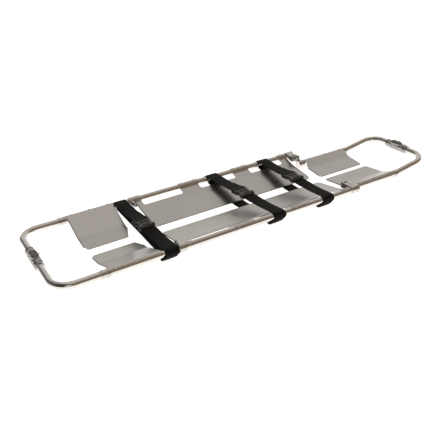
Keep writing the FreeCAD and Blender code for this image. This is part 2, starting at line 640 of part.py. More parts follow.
def make_leg_knuckle():
    x0 = PIVOT_X + KNUCKLE_START
    x1 = x0 + KNUCKLE_SOCKET
    body = rod_x(TUBE_R + RING_WALL, x0, x1, LEG_Y, LEG_Z)
    web = [(PIVOT_X - EYE_R, PIVOT_Z), (x0, LEG_Z), (x1 - KNUCKLE_WEB_END, LEG_Z),
           (PIVOT_X + EYE_R, PIVOT_Z)]
    outline = [V(x, KNUCKLE_IN, z) for x, z in web]
    plate = Part.Face(Part.makePolygon(outline + [outline[0]])).extrude(V(0, KNUCKLE_PLATE, 0))
    plate = plate.fuse(rod_y(EYE_R - KNUCKLE_TRIM, KNUCKLE_IN, KNUCKLE_OUT, PIVOT_X, PIVOT_Z))
    body = body.fuse(plate).cut(below_ground())
    body = body.cut(rod_x(TUBE_R + SEAT, x0 + KNUCKLE_FLOOR, x1 + OVERCUT, LEG_Y, LEG_Z))
    bore = rod_y(HINGE_PIN_R + PIN_FIT, KNUCKLE_IN - OVERCUT, KNUCKLE_OUT + OVERCUT, PIVOT_X, PIVOT_Z)
    return body.cut(bore)


def leg_rivet_stations():
    start = LEG_PANEL_START + KNUCKLE_SOCKET
    return even_stations(start, LEG_PANEL_LENGTH - KNUCKLE_SOCKET, PLATE_RIVETS, LEG_RIVET_MARGIN)


def make_leg_rail():
    start = PIVOT_X + KNUCKLE_START + KNUCKLE_FLOOR + RAIL_END_GAP
    tube = ring_x(TUBE_R, TUBE_BORE_R, start, KINK_X - KINK_GAP, LEG_Y, LEG_Z)
    for hole in rivet_shanks(leg_rivet_stations(), LEG_Y, LEG_Z, LEG_RIVET_DEG, RIVET_R):
        tube = tube.cut(hole)
    return tube


def make_foot_loop(y_start):
    points = [V(KINK_X, LEG_Y, LEG_Z), V(FOOT_X, LEG_Y, RAIL_Z), V(FOOT_X, y_start, RAIL_Z)]
    return bent_tube(points, FOOT_CORNER_R, TUBE_R, TUBE_BORE_R)


def make_foot_ring():
    length = FOOT_RING_LENGTH
    body = rod_x(TUBE_R + FOOT_RING_WALL, KINK_X - length / 2, KINK_X + length / 2, LEG_Y, LEG_Z)
    rise = V(math.cos(FOOT_RISE), 0, math.sin(FOOT_RISE))
    loop_core = Part.makeCylinder(TUBE_R, length, V(KINK_X, LEG_Y, LEG_Z), rise)
    rail_core = rod_x(TUBE_R, KINK_X - length, KINK_X - KINK_GAP, LEG_Y, LEG_Z)
    return body.cut(loop_core).cut(rail_core).cut(below_ground())


# ---- end couplings: drawn about the tube's axis, +X inboard, then placed -------------------------
def lever_pivot_height():
    return HOUSING_HEIGHT / 2 - LEVER_SINK - LEVER_THICK + LEVER_EYE_RISE


def coupling_housing(far):
    d = HOUSING_DEPTH / 2
    h = HOUSING_HEIGHT / 2
    body = block(-d, d, -HOUSING_NEAR, far, -h, h)
    body = body.makeFillet(HOUSING_EDGE_R, [e for e in body.Edges if e.Length > far])
    body = body.fuse(rod_y(TUBE_R + RING_WALL, far, far + HOUSING_RING, 0, 0))
    body = body.cut(rod_y(TUBE_R + SEAT, far - TUBE_SOCKET, far + HOUSING_RING + OVERCUT, 0, 0))
    w = TONGUE_WIDTH / 2 + TONGUE_CLEARANCE
    t = TONGUE_HEIGHT / 2 + TONGUE_CLEARANCE
    body = body.cut(block(-w, w, -HOUSING_NEAR - OVERCUT, TONGUE_REACH + OVERCUT, -t, t))
    lw = LEVER_WIDTH / 2 + RECESS_SIDE_GAP
    start = -LEVER_NEAR - RECESS_NEAR_GAP
    recess = block(-lw, lw, start, LEVER_FAR + RECESS_END_GAP, h - RECESS_DEPTH, h + OVERCUT)
    body = body.cut(recess)
    tw = TOOTH_WIDTH / 2 + TOOTH_SIDE_GAP
    body = body.cut(block(-tw, tw, start, -LEVER_NEAR + TOOTH_LENGTH + TOOTH_ROOM, 0, h))
    pocket = Part.makeCylinder(LEVER_SPRING_R + POCKET_GAP, SPRING_POCKET + OVERCUT,
                               V(0, LEVER_SPRING_Y, h - RECESS_DEPTH - SPRING_POCKET))
    body = body.cut(pocket)
    pin = rod_x(LEVER_PIN_R, -d, d, LEVER_PIVOT_Y, lever_pivot_height())
    return body.cut(pin)


def coupling_tongue():
    w = TONGUE_WIDTH / 2
    t = TONGUE_HEIGHT / 2
    face = HOUSING_NEAR + TONGUE_FACE_GAP
    tongue = block(-w, w, -face - OVERCUT, TONGUE_REACH, -t, t)
    tip = [e for e in tongue.Edges if abs(e.CenterOfMass.y - TONGUE_REACH) < 0.1]
    tongue = tongue.makeChamfer(TONGUE_CHAMFER, tip)
    nw = TOOTH_WIDTH / 2 + 2 * TOOTH_SIDE_GAP
    notch = block(-nw, nw, -LEVER_NEAR - RECESS_NEAR_GAP, -LEVER_NEAR + TOOTH_LENGTH + NOTCH_ROOM,
                  t - NOTCH_DEPTH, t + OVERCUT)
    collar = rod_y(TUBE_R + RING_WALL, -face - COLLAR_LENGTH, -face, 0, 0)
    floor = -face - COLLAR_FLOOR
    collar = collar.cut(rod_y(TUBE_R + SEAT, -face - COLLAR_LENGTH, floor, 0, 0))
    spigot = rod_y(TUBE_BORE_R - SEAT, floor - SPIGOT_LENGTH, floor + OVERCUT, 0, 0)
    return tongue.cut(notch).fuse(collar).fuse(spigot)


def release_lever():
    h = HOUSING_HEIGHT / 2
    w = LEVER_WIDTH / 2
    top = h - LEVER_SINK
    plate = block(-w, w, -LEVER_NEAR, LEVER_FAR, top - LEVER_THICK, top)
    plate = plate.makeFillet(LEVER_ROUND, [e for e in plate.Edges if abs(e.CenterOfMass.z - top) < 0.1])
    eye = rod_x(LEVER_EYE_R, -w, w, LEVER_PIVOT_Y, lever_pivot_height())
    tooth = block(-TOOTH_WIDTH / 2, TOOTH_WIDTH / 2, -LEVER_NEAR, -LEVER_NEAR + TOOTH_LENGTH,
                  h - RECESS_DEPTH - TOOTH_BITE, top - OVERCUT)
    lever = plate.fuse(eye).fuse(tooth)
    bore = rod_x(LEVER_PIN_R + PIN_FIT, -w - OVERCUT, w + OVERCUT, LEVER_PIVOT_Y, lever_pivot_height())
    return lever.cut(bore)


def lever_pin():
    d = HOUSING_DEPTH / 2
    return rod_x(LEVER_PIN_R, -d, d, LEVER_PIVOT_Y, lever_pivot_height())


def lever_spring():
    h = HOUSING_HEIGHT / 2
    floor = h - RECESS_DEPTH - SPRING_POCKET
    length = h - LEVER_SINK - LEVER_THICK - floor
    return coil(V(0, LEVER_SPRING_Y, floor), V(0, 0, 1), length,
                LEVER_SPRING_R, LEVER_SPRING_WIRE, LEVER_SPRING_TURNS)


def place_head(shape):
    placed = shape.copy()
    placed.translate(V(HEAD_X, 0, RAIL_Z))
    return placed


def place_foot(shape):
    placed = shape.mirror(V(0, 0, 0), V(1, 0, 0))
    placed.rotate(V(0, 0, 0), V(0, 1, 0), -math.degrees(FOOT_RISE))
    placed.translate(V(FOOT_X, 0, RAIL_Z))
    return placed


# ---- straps --------------------------------------------------------------------------------------
def ribbon(x0, y0, z0, x1, y1, z1):
    """Flat run of webbing from one cross-section place to another, its edges parallel to X at both."""
    half = WEB_WIDTH / 2
    corners = [V(x0 - half, y0, z0), V(x0 + half, y0, z0), V(x1 + half, y1, z1), V(x1 - half, y1, z1)]
    face = Part.Face(Part.makePolygon(corners + [corners[0]]))
    normal = (corners[1] - corners[0]).cross(corners[3] - corners[0]).normalize()
    run = face.extrude(normal * WEB_THICK)
    run.translate(normal * (-WEB_THICK / 2))
    return run


def strap_half(rail_station, top_station, low_station, tube_r, top_end_y, low_z):
    """One half's webbing, drawn on the far side: top run, round the rail, and the run below."""
    radius = tube_r + WEB_GAP + WEB_THICK / 2
    x = station(rail_station)
    rail = (RAIL_Y, RAIL_Z)
    top_z = RAIL_Z + radius
    quarter = math.pi / 2
    low_turn_y = TORSO_INNER_Y + LOW_TURN
    flat_low = low_z is None
    if flat_low:
        low = RAIL_Z - radius
        leave = -quarter
    else:
        low = low_z
        corner = (low_turn_y, low_z)
        leave = heading(corner, rail) - math.asin(radius / math.dist(corner, rail)) - quarter
    wrap = strip([arc_segment(rail, radius, quarter, leave)], WEB_THICK, x - WEB_WIDTH / 2, WEB_WIDTH)
    end = polar(rail, radius, leave)
    top = ribbon(x, RAIL_Y, top_z, station(top_station), top_end_y, top_z)
    pieces = [wrap, top]
    if flat_low:
        pieces.append(ribbon(x, end[0], end[1], station(low_station), WEB_GAP / 2, low))
    else:
        pieces.append(ribbon(x, end[0], end[1], station(low_station), low_turn_y, low))
        pieces.append(ribbon(station(low_station), low_turn_y + OVERCUT / 2, low,
                             station(low_station), WEB_GAP / 2, low))
    solid = pieces[0]
    for piece in pieces[1:]:
        solid = solid.fuse(piece)
    return solid.removeSplitter()


def strap_skew(far_station, near_station):
    """Angle that the top run makes with Y, in radians; positive leans the far end headward."""
    return math.atan2(near_station - far_station, RAIL_SPACING)


def place_buckle(shape, far_station, near_station, z):
    placed = shape.copy()
    placed.rotate(V(0, 0, 0), V(0, 0, 1), math.degrees(strap_skew(far_station, near_station)))
    placed.translate(V(station((far_station + near_station) / 2), 0, z))
    return placed


def buckle_socket(skew):
    """Female body, drawn about the middle of the webbing; the clip leaves towards +Y."""
    w = BUCKLE_WIDTH / 2
    t = BUCKLE_THICK / 2
    body = block(-w, w, -SOCKET_BACK, SOCKET_MOUTH, -t, t)
    body = body.makeFillet(SOCKET_ROUND, [e for e in body.Edges if e.Length > SOCKET_BACK])
    side = PRONG_SPAN / 2 + PRONG_LENGTH * math.sin(abs(skew)) + CAVITY_SIDE_GAP
    low = -WEB_THICK / 2 - PRONG_THICK - 2 * PRONG_GAP
    cavity = block(-side, side, CLIP_SHOULDER - PRONG_LENGTH - CAVITY_END_GAP, SOCKET_MOUTH + OVERCUT,
                   low, -WEB_THICK / 2 - CAVITY_ROOF)
    return body.cut(cavity)


def buckle_clip():
    """Male clip: slotted base that the webbing passes through, two side arms and a guide."""
    w = BUCKLE_WIDTH / 2 - CLIP_NARROW
    t = BUCKLE_THICK / 2 - CLIP_THIN
    base = block(-w, w, CLIP_SHOULDER, CLIP_SHOULDER + CLIP_LENGTH, -t, t)
    base = base.makeFillet(CLIP_ROUND, [e for e in base.Edges if abs(e.Length - CLIP_LENGTH) < 0.1])
    side = WEB_WIDTH / 2 + TUNNEL_SIDE_GAP
    top = -WEB_THICK / 2 - PRONG_GAP
    base = base.cut(block(-side, side, CLIP_SHOULDER - OVERCUT, CLIP_SHOULDER + CLIP_LENGTH + OVERCUT,
                          top, -top))
    tip = CLIP_SHOULDER - PRONG_LENGTH
    s = PRONG_SPAN / 2
    guide = GUIDE_WIDTH / 2
    for x0, x1, y0 in ((-s, -s + PRONG_WIDTH, tip), (s - PRONG_WIDTH, s, tip),
                       (-guide, guide, tip + GUIDE_SHORT)):
        prong = block(x0, x1, y0, CLIP_SHOULDER + OVERCUT, top - PRONG_THICK, top)
        base = base.fuse(prong)
    return base.removeSplitter()


# ---- putting it together -------------------------------------------------------------------------
def save(name, shape):
    shape.exportStep(os.path.join("parts", name + ".step"))


def near_side(shape):
    return shape.mirror(V(0, 0, 0), V(0, 1, 0))


os.makedirs("parts", exist_ok=True)

head_rivets = [rivet(station(s), RAIL_Y, RAIL_Z, HEAD_RIVET_DEG) for s in head_rivet_stations()]
torso_rivets = [rivet(station(s), RAIL_Y, RAIL_Z, TORSO_RIVET_DEG) for s in torso_rivet_stations()]
leg_rivets = [rivet(station(s), LEG_Y, LEG_Z, LEG_RIVET_DEG) for s in leg_rivet_stations()]


def riveted(panel, rivets):
    for item in rivets:
        panel = panel.cut(item)
    return panel


paired = {
    "torso_rail": make_torso_rail(),
    "torso_panel": riveted(torso_panel(), torso_rivets),
    "torso_rivets": Part.makeCompound(torso_rivets),
    "lock_housing": make_lock_housing(),
    "lock_pin": make_lock_pin(),
    "lock_spring": make_lock_spring(),
    "hinge_clevis": make_hinge_clevis(),
    "hinge_pin": make_hinge_pin(),
    "head_collar": make_head_collar(),
    "head_slide_tube": make_slide_tube(),
    "head_panel": riveted(head_panel(), head_rivets),
    "head_rivets": Part.makeCompound(head_rivets),
    "leg_knuckle": make_leg_knuckle(),
    "leg_rail": make_leg_rail(),
    "leg_panel": riveted(leg_panel(), leg_rivets),
    "leg_rivets": Part.makeCompound(leg_rivets),
}
for name, shape in paired.items():
    save("far_" + name, shape)
    save("near_" + name, near_side(shape))

TONGUE_SHOULDER = HOUSING_NEAR + TONGUE_FACE_GAP + COLLAR_FLOOR
save("far_head_loop", make_head_loop(HEAD_HOUSING_FAR - TUBE_SOCKET))
save("near_head_loop", near_side(make_head_loop(TONGUE_SHOULDER)))
save("far_foot_loop", make_foot_loop(FOOT_HOUSING_FAR - TUBE_SOCKET))
save("near_foot_loop", near_side(make_foot_loop(TONGUE_SHOULDER)))
foot_ring = make_foot_ring()
save("far_foot_ring", foot_ring)
save("near_foot_ring", near_side(foot_ring))

for end, place, far in (("head", place_head, HEAD_HOUSING_FAR), ("foot", place_foot, FOOT_HOUSING_FAR)):
    save(end + "_coupling_housing", place(coupling_housing(far)))
    save(end + "_coupling_tongue", place(coupling_tongue()))
    save(end + "_release_lever", place(release_lever()))
    save(end + "_lever_pin", place(lever_pin()))
    save(end + "_lever_spring", place(lever_spring()))

for number, (far_at, near_at, low_at) in enumerate(STRAPS, start=1):
    bare = number == 1
    tube_r = SLIDE_R if bare else TUBE_R
    low_z = None if bare else WEB_LOW_Z
    skew = strap_skew(far_at, near_at)
    slope = (near_at - far_at) / RAIL_SPACING
    middle = (far_at + near_at) / 2
    clip_end = CLIP_SHOULDER + FAR_WEB_IN_CLIP
    top_z = RAIL_Z + tube_r + WEB_GAP + WEB_THICK / 2
    far = strap_half(far_at, middle - slope * clip_end, low_at, tube_r, clip_end, low_z)
    near_end = SOCKET_BACK - NEAR_WEB_IN_SOCKET
    near = strap_half(near_at, middle + slope * near_end, low_at, tube_r, near_end, low_z)
    socket = place_buckle(buckle_socket(skew), far_at, near_at, top_z)
    save("strap_%d_far_webbing" % number, far)
    save("strap_%d_near_webbing" % number, near_side(near).cut(socket))
    save("strap_%d_buckle_socket" % number, socket)
    save("strap_%d_buckle_clip" % number, place_buckle(buckle_clip(), far_at, near_at, top_z))
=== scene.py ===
# %% [markdown]
# A folding scoop stretcher: two mirrored aluminium halves, latched together at both ends, with
# three black straps across them. The part's own model is loaded first and stays as it is. Tubes,
# plates and castings keep their exact shapes and get finishes; webbing, buckles, the cast couplings
# and the rolled plate edges are made here, because their look depends on soft or moulded curves.

# %% Load the frame
import json
import math

import bpy
import numpy as np
from mathutils import Matrix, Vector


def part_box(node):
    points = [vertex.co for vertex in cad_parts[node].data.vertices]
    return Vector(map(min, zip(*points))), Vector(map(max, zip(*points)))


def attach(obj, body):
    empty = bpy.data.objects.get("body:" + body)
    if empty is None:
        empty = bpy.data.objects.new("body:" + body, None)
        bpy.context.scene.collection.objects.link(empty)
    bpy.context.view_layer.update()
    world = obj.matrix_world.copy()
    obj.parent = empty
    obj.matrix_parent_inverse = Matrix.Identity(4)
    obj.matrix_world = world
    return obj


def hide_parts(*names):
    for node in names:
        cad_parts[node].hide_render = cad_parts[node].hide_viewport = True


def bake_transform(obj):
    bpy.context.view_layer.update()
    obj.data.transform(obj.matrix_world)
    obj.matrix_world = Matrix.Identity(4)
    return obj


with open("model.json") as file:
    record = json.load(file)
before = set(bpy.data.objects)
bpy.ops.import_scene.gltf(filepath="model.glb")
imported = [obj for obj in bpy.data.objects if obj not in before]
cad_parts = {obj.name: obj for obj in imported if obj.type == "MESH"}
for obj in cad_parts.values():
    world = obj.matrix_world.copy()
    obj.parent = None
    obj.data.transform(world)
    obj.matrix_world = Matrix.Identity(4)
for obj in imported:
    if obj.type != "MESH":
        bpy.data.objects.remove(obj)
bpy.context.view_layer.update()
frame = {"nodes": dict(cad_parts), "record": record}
nodes = frame["nodes"]

# %% [markdown]
# Everything that is placed below starts from a few places read off the frame: the axis of the head
# end tube and of the foot end tube, and the axis of the torso rail. A station is a distance along
# the stretcher from the head end tube, as a maker would mark it with a tape.

# %% Places read off the frame
def middle(node):
    """Centre of a node's box: half the sum of its two corners."""
    low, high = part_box(node)
    return (low + high) / 2


HEAD_X = middle("head_coupling_housing").x
RAIL = middle("far_torso_rail")
RAIL_Y, RAIL_Z = RAIL.y, RAIL.z
TUBE_R = (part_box("far_torso_rail")[1].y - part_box("far_torso_rail")[0].y) / 2
SLIDE_R = (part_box("far_head_slide_tube")[1].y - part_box("far_head_slide_tube")[0].y) / 2
MM = 0.001


def station(s):
    """X of a place s metres from the head end tube's axis."""
    return HEAD_X + s


print("rail axis at y %.4f z %.4f, tube radius %.4f" % (RAIL_Y, RAIL_Z, TUBE_R))

# %% [markdown]
# The camera stands outside the near rail by the head end, a little over a metre up, and looks down
# the stretcher. Its three axes are worked out from a heading, a downward tilt and a small roll,
# so each can be tried by itself.

# %% Camera
CAMERA_FROM_HEAD = (-0.304, -1.6982, 1.0435)    # from the head end tube's middle, on the ground
CAMERA_HEADING = math.radians(29.641)           # from +Y towards +X
CAMERA_TILT = math.radians(28.232)              # below level
CAMERA_ROLL = math.radians(-2.812)
CAMERA_LENS = 50.34                             # mm on a 36 mm sensor

camera = bpy.data.objects.new("camera", bpy.data.cameras.new("camera"))
bpy.context.collection.objects.link(camera)
ahead = np.array([math.sin(CAMERA_HEADING) * math.cos(CAMERA_TILT),
                  math.cos(CAMERA_HEADING) * math.cos(CAMERA_TILT), -math.sin(CAMERA_TILT)])
right = np.array([math.cos(CAMERA_HEADING), -math.sin(CAMERA_HEADING), 0.0])
up = np.cross(right, ahead)
across = math.cos(CAMERA_ROLL) * right + math.sin(CAMERA_ROLL) * up
upward = math.cos(CAMERA_ROLL) * up - math.sin(CAMERA_ROLL) * right
place = np.array(CAMERA_FROM_HEAD) + (HEAD_X, 0.0, 0.0)
camera_frame = np.eye(4)
camera_frame[:3] = np.column_stack([across, upward, -ahead, place])
camera.matrix_world = Matrix(camera_frame.tolist())
camera.data.lens = CAMERA_LENS
camera.data.sensor_width = 36.0
camera.data.clip_end = 60.0
bpy.context.scene.camera = camera
print("camera at", np.round(place, 3))

# %% [markdown]
# A shader is a small network. One helper adds a node and takes plain numbers, colours or other
# nodes' outputs as its inputs, so that each finish below reads as a recipe. A value that is the
# same all over the surface goes straight onto the shader's socket.

# %% Helpers for finishes
def node(tree, kind, inputs=None, **settings):
    """Adds a shader node; an input that is another node's output is linked, the rest are set."""
    made = tree.nodes.new("ShaderNode" + kind)
    for key, value in settings.items():
        setattr(made, key, value)
    for key, value in (inputs or {}).items():
        if isinstance(value, bpy.types.NodeSocket):
            tree.links.new(value, made.inputs[key])
        else:
            made.inputs[key].default_value = value
    return made


def new_finish(name):
    """Empty material and its node tree."""
    material = bpy.data.materials.new(name)
    material.use_nodes = True
    material.node_tree.nodes.clear()
    return material, material.node_tree


def object_noise(tree, scale, detail=4.0, roughness=0.55, stretch=(1.0, 1.0, 1.0)):
    """Noise on object coordinates; stretch multiplies X, Y and Z before the noise is read."""
    where = node(tree, "TexCoord").outputs["Object"]
    mapped = node(tree, "Mapping", {"Vector": where, "Scale": stretch}).outputs["Vector"]
    return node(tree, "TexNoise", {"Vector": mapped, "Scale": scale, "Detail": detail,
                                   "Roughness": roughness}).outputs["Fac"]


def spread(tree, value, low, high, source=(0.3, 0.7)):
    """Maps a noise value from source onto low to high."""
    return node(tree, "MapRange", {"Value": value, "From Min": source[0], "From Max": source[1],
                                   "To Min": low, "To Max": high}).outputs["Result"]


def blend_colours(tree, factor, first, second):
    """Mix of two colours; factor 0 is the first and 1 the second."""
    made = node(tree, "Mix", {"Factor": factor}, data_type="RGBA")
    made.inputs[6].default_value = (*first, 1.0)
    made.inputs[7].default_value = (*second, 1.0)
    return made.outputs[2]


def maths(tree, operation, *values):
    """Output of a Math node. The values are numbers or other nodes' outputs."""
    return node(tree, "Math", dict(enumerate(values)), operation=operation).outputs[0]


def finish_with(tree, surface, height, strength, distance, **sockets):
    """Principled surface with a bump; sockets holds the values that are uniform."""
    bump = node(tree, "Bump", {"Height": height, "Strength": strength, "Distance": distance})
    inputs = dict(surface, Normal=bump.outputs["Normal"])
    shader = node(tree, "BsdfPrincipled", inputs)
    for key, value in sockets.items():
        shader.inputs[key.replace("_", " ")].default_value = value
    output = node(tree, "OutputMaterial")
    tree.links.new(shader.outputs["BSDF"], output.inputs["Surface"])
    return shader


# %% [markdown]
# The floor is one large pale sheet, as in a catalogue set. It glows a little, which stands for the
# many bounces of light in a white studio, so that shadows stay faint and the undersides of the
# tubes pick up white. The set round it is drawn in the world: pale near the horizon on the far side,
# a warm grey ceiling, and a dim brown room behind the camera, which is what polished tube shows.

# %% Floor
FLOOR_HALF = 14.0
FLOOR_SHADES = (0.84, 0.88)
FLOOR_GLOW = 0.90                # stands for light bounced about the studio

corners = FLOOR_HALF * np.array([[-1, -1, 0], [1, -1, 0], [1, 1, 0], [-1, 1, 0]], float)
floor_mesh = bpy.data.meshes.new("floor")
floor_mesh.from_pydata(corners.tolist(), [], [[0, 1, 2, 3]])
floor = bpy.data.objects.new("floor", floor_mesh)
bpy.context.collection.objects.link(floor)
floor_finish, tree = new_finish("studio_floor")
floor_shade = spread(tree, object_noise(tree, 3.0), *FLOOR_SHADES)
finish_with(tree, {"Base Color": floor_shade}, floor_shade, 0.02, 0.001, Roughness=0.7,
            Emission_Color=(1.0, 1.0, 1.0, 1.0), Emission_Strength=FLOOR_GLOW)
floor_mesh.materials.append(floor_finish)

# %% World
# sine of the elevation and grey, on the far and the near side
FAR_SKY = ((0.0, 1.0), (0.10, 0.95), (0.24, 0.68), (0.42, 0.55), (0.80, 0.52), (1.0, 0.48))
NEAR_SKY = ((0.0, 0.46), (0.10, 0.22), (0.22, 0.18), (0.60, 0.21), (0.88, 0.28), (1.0, 0.42))
WARMTH = (1.0, 0.945, 0.885)
NEAR_WARMTH = (1.0, 0.81, 0.61)
TINT_GAIN = 1.5                  # how fast the tint grows away from white
SIDE_BLEND = 0.25                # half width of the step from the near to the far sky
HEAD_SIDE_DIM = 0.22             # brightness left of the set beyond the head end
HEAD_SIDE_FROM, HEAD_SIDE_TO = -0.40, 0.02      # where that dimming starts and ends, along X

world = bpy.data.worlds.new("studio")
bpy.context.scene.world = world
world.use_nodes = True
tree = world.node_tree
tree.nodes.clear()
direction = node(tree, "TexCoord").outputs["Generated"]
parts = node(tree, "SeparateXYZ", {"Vector": direction})


def sky_ramp(stops, warmth):
    """Grey from the sine of the elevation, with the set's warm tint away from white."""
    ramp = node(tree, "ValToRGB", {"Fac": parts.outputs["Z"]})
    for k, (where, grey) in enumerate(stops):
        stop = ramp.color_ramp.elements[k] if k < 2 else ramp.color_ramp.elements.new(where)
        stop.position = where
        tint = 1.0 - (1.0 - np.array(warmth)) * min(1.0, TINT_GAIN * (1.0 - grey))
        stop.color = (*(grey * tint), 1.0)
    return ramp.outputs["Color"]


side = node(tree, "MapRange", {"Value": parts.outputs["Y"], "From Min": -SIDE_BLEND,
                               "From Max": SIDE_BLEND},
            interpolation_type="SMOOTHSTEP").outputs["Result"]
mixed = node(tree, "Mix", {"Factor": side}, data_type="RGBA")
tree.links.new(sky_ramp(NEAR_SKY, NEAR_WARMTH), mixed.inputs[6])
tree.links.new(sky_ramp(FAR_SKY, WARMTH), mixed.inputs[7])
dimming = node(tree, "MapRange", {"Value": parts.outputs["X"], "From Min": HEAD_SIDE_FROM,
                                  "From Max": HEAD_SIDE_TO, "To Min": HEAD_SIDE_DIM, "To Max": 1.0},
               interpolation_type="SMOOTHSTEP").outputs["Result"]
background = node(tree, "Background", {"Color": mixed.outputs[2], "Strength": dimming})
world_out = node(tree, "OutputWorld")
tree.links.new(background.outputs["Background"], world_out.inputs["Surface"])


# %% Lights
def soft_light(name, at, target, size, power, colour=(1.0, 1.0, 1.0)):
    """Square area light at a place, turned so that its -Z axis points at the target."""
    data = bpy.data.lights.new(name, "AREA")
    data.size = size
    data.energy = power
    data.color = colour
    lamp = bpy.data.objects.new(name, data)
    bpy.context.collection.objects.link(lamp)
    back = np.array(at, float) - np.array(target, float)
    back /= np.linalg.norm(back)
    sideways = np.cross((0.0, 1.0, 0.01), back)
    sideways /= np.linalg.norm(sideways)
    pose = np.eye(4)
    pose[:3] = np.column_stack([sideways, np.cross(back, sideways), back, at])
    lamp.matrix_world = Matrix(pose.tolist())


soft_light("overhead_box", at=(-0.3, 0.5, 3.2), target=(0.0, 0.0, 0.0), size=2.2, power=2.0)
soft_light("near_fill", at=(-2.2, -3.2, 1.6), target=(0.0, 0.0, 0.0), size=1.6, power=7.0,
           colour=(1.0, 0.97, 0.93))
bpy.context.scene.view_settings.view_transform = "Standard"
print("floor, world and two soft lights are up")

# %% [markdown]
# Metal finishes share one recipe: noise stretched along the direction in which the metal was drawn,
# rolled or brushed gives fine lines, a slow second noise gives handling marks, and both move the
# colour, the roughness and a very shallow bump. Only numbers differ between polished tube,
# brushed sheet, polished and dull cast alloy, folded edges and plated steel. The folded edges are
# the plate's alloy painted nearly black, as painted shade and dark reflection.

# %% Metal finishes
def metal(name, dark, bright, rough, grain_scale, stretch, bump, smudge_scale=9.0, **sockets):
    """Noise-driven metal: grain sets the lines, smudge the marks, rough the two ends of roughness."""
    material, tree = new_finish(name)
    grain = object_noise(tree, grain_scale, 5.0, 0.6, stretch)
    smudge = object_noise(tree, smudge_scale, 3.0, 0.5)
    mean = maths(tree, "ADD", grain, smudge)
    colour = blend_colours(tree, spread(tree, mean, 0.0, 1.0, (0.75, 1.25)), dark, bright)
    roughness = spread(tree, mean, rough[0], rough[1], (0.75, 1.25))
    finish_with(tree, {"Base Color": colour, "Roughness": roughness}, grain, bump[0], bump[1],
                Metallic=1.0, **sockets)
    return material


DRAWN_ALONG_X = (0.02, 1.0, 1.0)
EVEN = (1.0, 1.0, 1.0)

finishes = {
    "polished_rail": metal("polished_rail", (0.74, 0.71, 0.67), (0.86, 0.84, 0.81), (0.10, 0.19),
                           420.0, DRAWN_ALONG_X, (0.10, 0.0004)),
    "polished_loop": metal("polished_loop", (0.74, 0.71, 0.67), (0.86, 0.84, 0.81), (0.09, 0.18),
                           120.0, EVEN, (0.05, 0.0003)),
    "brushed_plate": metal("brushed_plate", (0.62, 0.595, 0.565), (0.69, 0.668, 0.64), (0.26, 0.36),
                           520.0, (0.008, 1.0, 1.0), (0.08, 0.0004), 5.0),
    "dark_casting": metal("dark_casting", (0.34, 0.325, 0.31), (0.52, 0.50, 0.475), (0.26, 0.42),
                          520.0, EVEN, (0.25, 0.0004), 40.0),
    "polished_casting": metal("polished_casting", (0.60, 0.575, 0.545), (0.76, 0.735, 0.70),
                              (0.13, 0.24), 460.0, EVEN, (0.12, 0.0003), 40.0),
    # folded edges: the sheet's alloy painted nearly black, a painted shade and dark reflection
    "folded_edge_painted_shade": metal("folded_edge_painted_shade", (0.15, 0.144, 0.138), (0.25, 0.24, 0.23), (0.30, 0.45),
                         520.0, EVEN, (0.10, 0.0003), 30.0),
    "steel_small_parts": metal("steel_small_parts", (0.58, 0.57, 0.55), (0.76, 0.75, 0.73),
                               (0.18, 0.34), 900.0, EVEN, (0.10, 0.0002), 60.0),
    "dark_pin": metal("dark_pin", (0.30, 0.295, 0.29), (0.48, 0.47, 0.46), (0.22, 0.38),
                      700.0, EVEN, (0.20, 0.0003), 60.0),
    "lever": metal("lever", (0.10, 0.097, 0.094), (0.22, 0.215, 0.21), (0.28, 0.46),
                   600.0, EVEN, (0.25, 0.0003), 70.0),
}
print("metal finishes:", ", ".join(sorted(finishes)))

# %% [markdown]
# Strap webbing is a thick nylon weave: ribs run along it, and across each rib lies a row of small
# chevrons, half a step out from those on its neighbours. The pattern follows the strap, so it is
# drawn on the strap's own UV map, whose two numbers are metres along and across the webbing.

# %% Webbing and thread finishes
RIB_PITCH = 1.5 * MM
PICK_PITCH = 2.4 * MM


def webbing_finish():
    """Height = |sin| of the ribs times a wave along each rib, shifted half a pitch on odd ribs."""
    material, tree = new_finish("black_webbing")
    uv = node(tree, "UVMap", uv_map="webbing").outputs["UV"]
    split = node(tree, "SeparateXYZ", {"Vector": uv})
    ribs = maths(tree, "MULTIPLY", split.outputs["Y"], 1.0 / RIB_PITCH)
    picks = maths(tree, "MULTIPLY", split.outputs["X"], 1.0 / PICK_PITCH)
    shifted = maths(tree, "MULTIPLY_ADD", maths(tree, "FLOOR", ribs), 0.5, picks)
    wave = maths(tree, "ABSOLUTE", maths(tree, "SINE", maths(tree, "MULTIPLY", shifted, math.pi)))
    rib = maths(tree, "ABSOLUTE", maths(tree, "SINE", maths(tree, "MULTIPLY", ribs, math.pi)))
    height = maths(tree, "MULTIPLY", rib, wave)
    fuzz = object_noise(tree, 260.0, 3.0)
    # the colour follows the weave's height: painted highlight on the raised yarn and painted shade in the
    # valleys, times the fuzz's random tone
    weave_tone_and_painted_shade = maths(tree, "MULTIPLY", height, fuzz)
    colour = blend_colours(tree, spread(tree, weave_tone_and_painted_shade, 0.0, 1.0, (0.05, 0.6)),
                           (0.0036, 0.0032, 0.0028), (0.0115, 0.0102, 0.0090))
    roughness = spread(tree, fuzz, 0.55, 0.78)
    finish_with(tree, {"Base Color": colour, "Roughness": roughness}, height, 0.55, 0.0006,
                Sheen_Weight=0.03, Sheen_Roughness=0.4, Specular_IOR_Level=0.18)
    return material


def thread_finish():
    """Dark bonded thread: fine noise along its twist."""
    material, tree = new_finish("sewing_thread")
    twist = object_noise(tree, 1800.0, 2.0)
    colour = blend_colours(tree, twist, (0.03, 0.03, 0.03), (0.08, 0.078, 0.075))
    finish_with(tree, {"Base Color": colour}, twist, 0.4, 0.0002, Roughness=0.6)
    return material


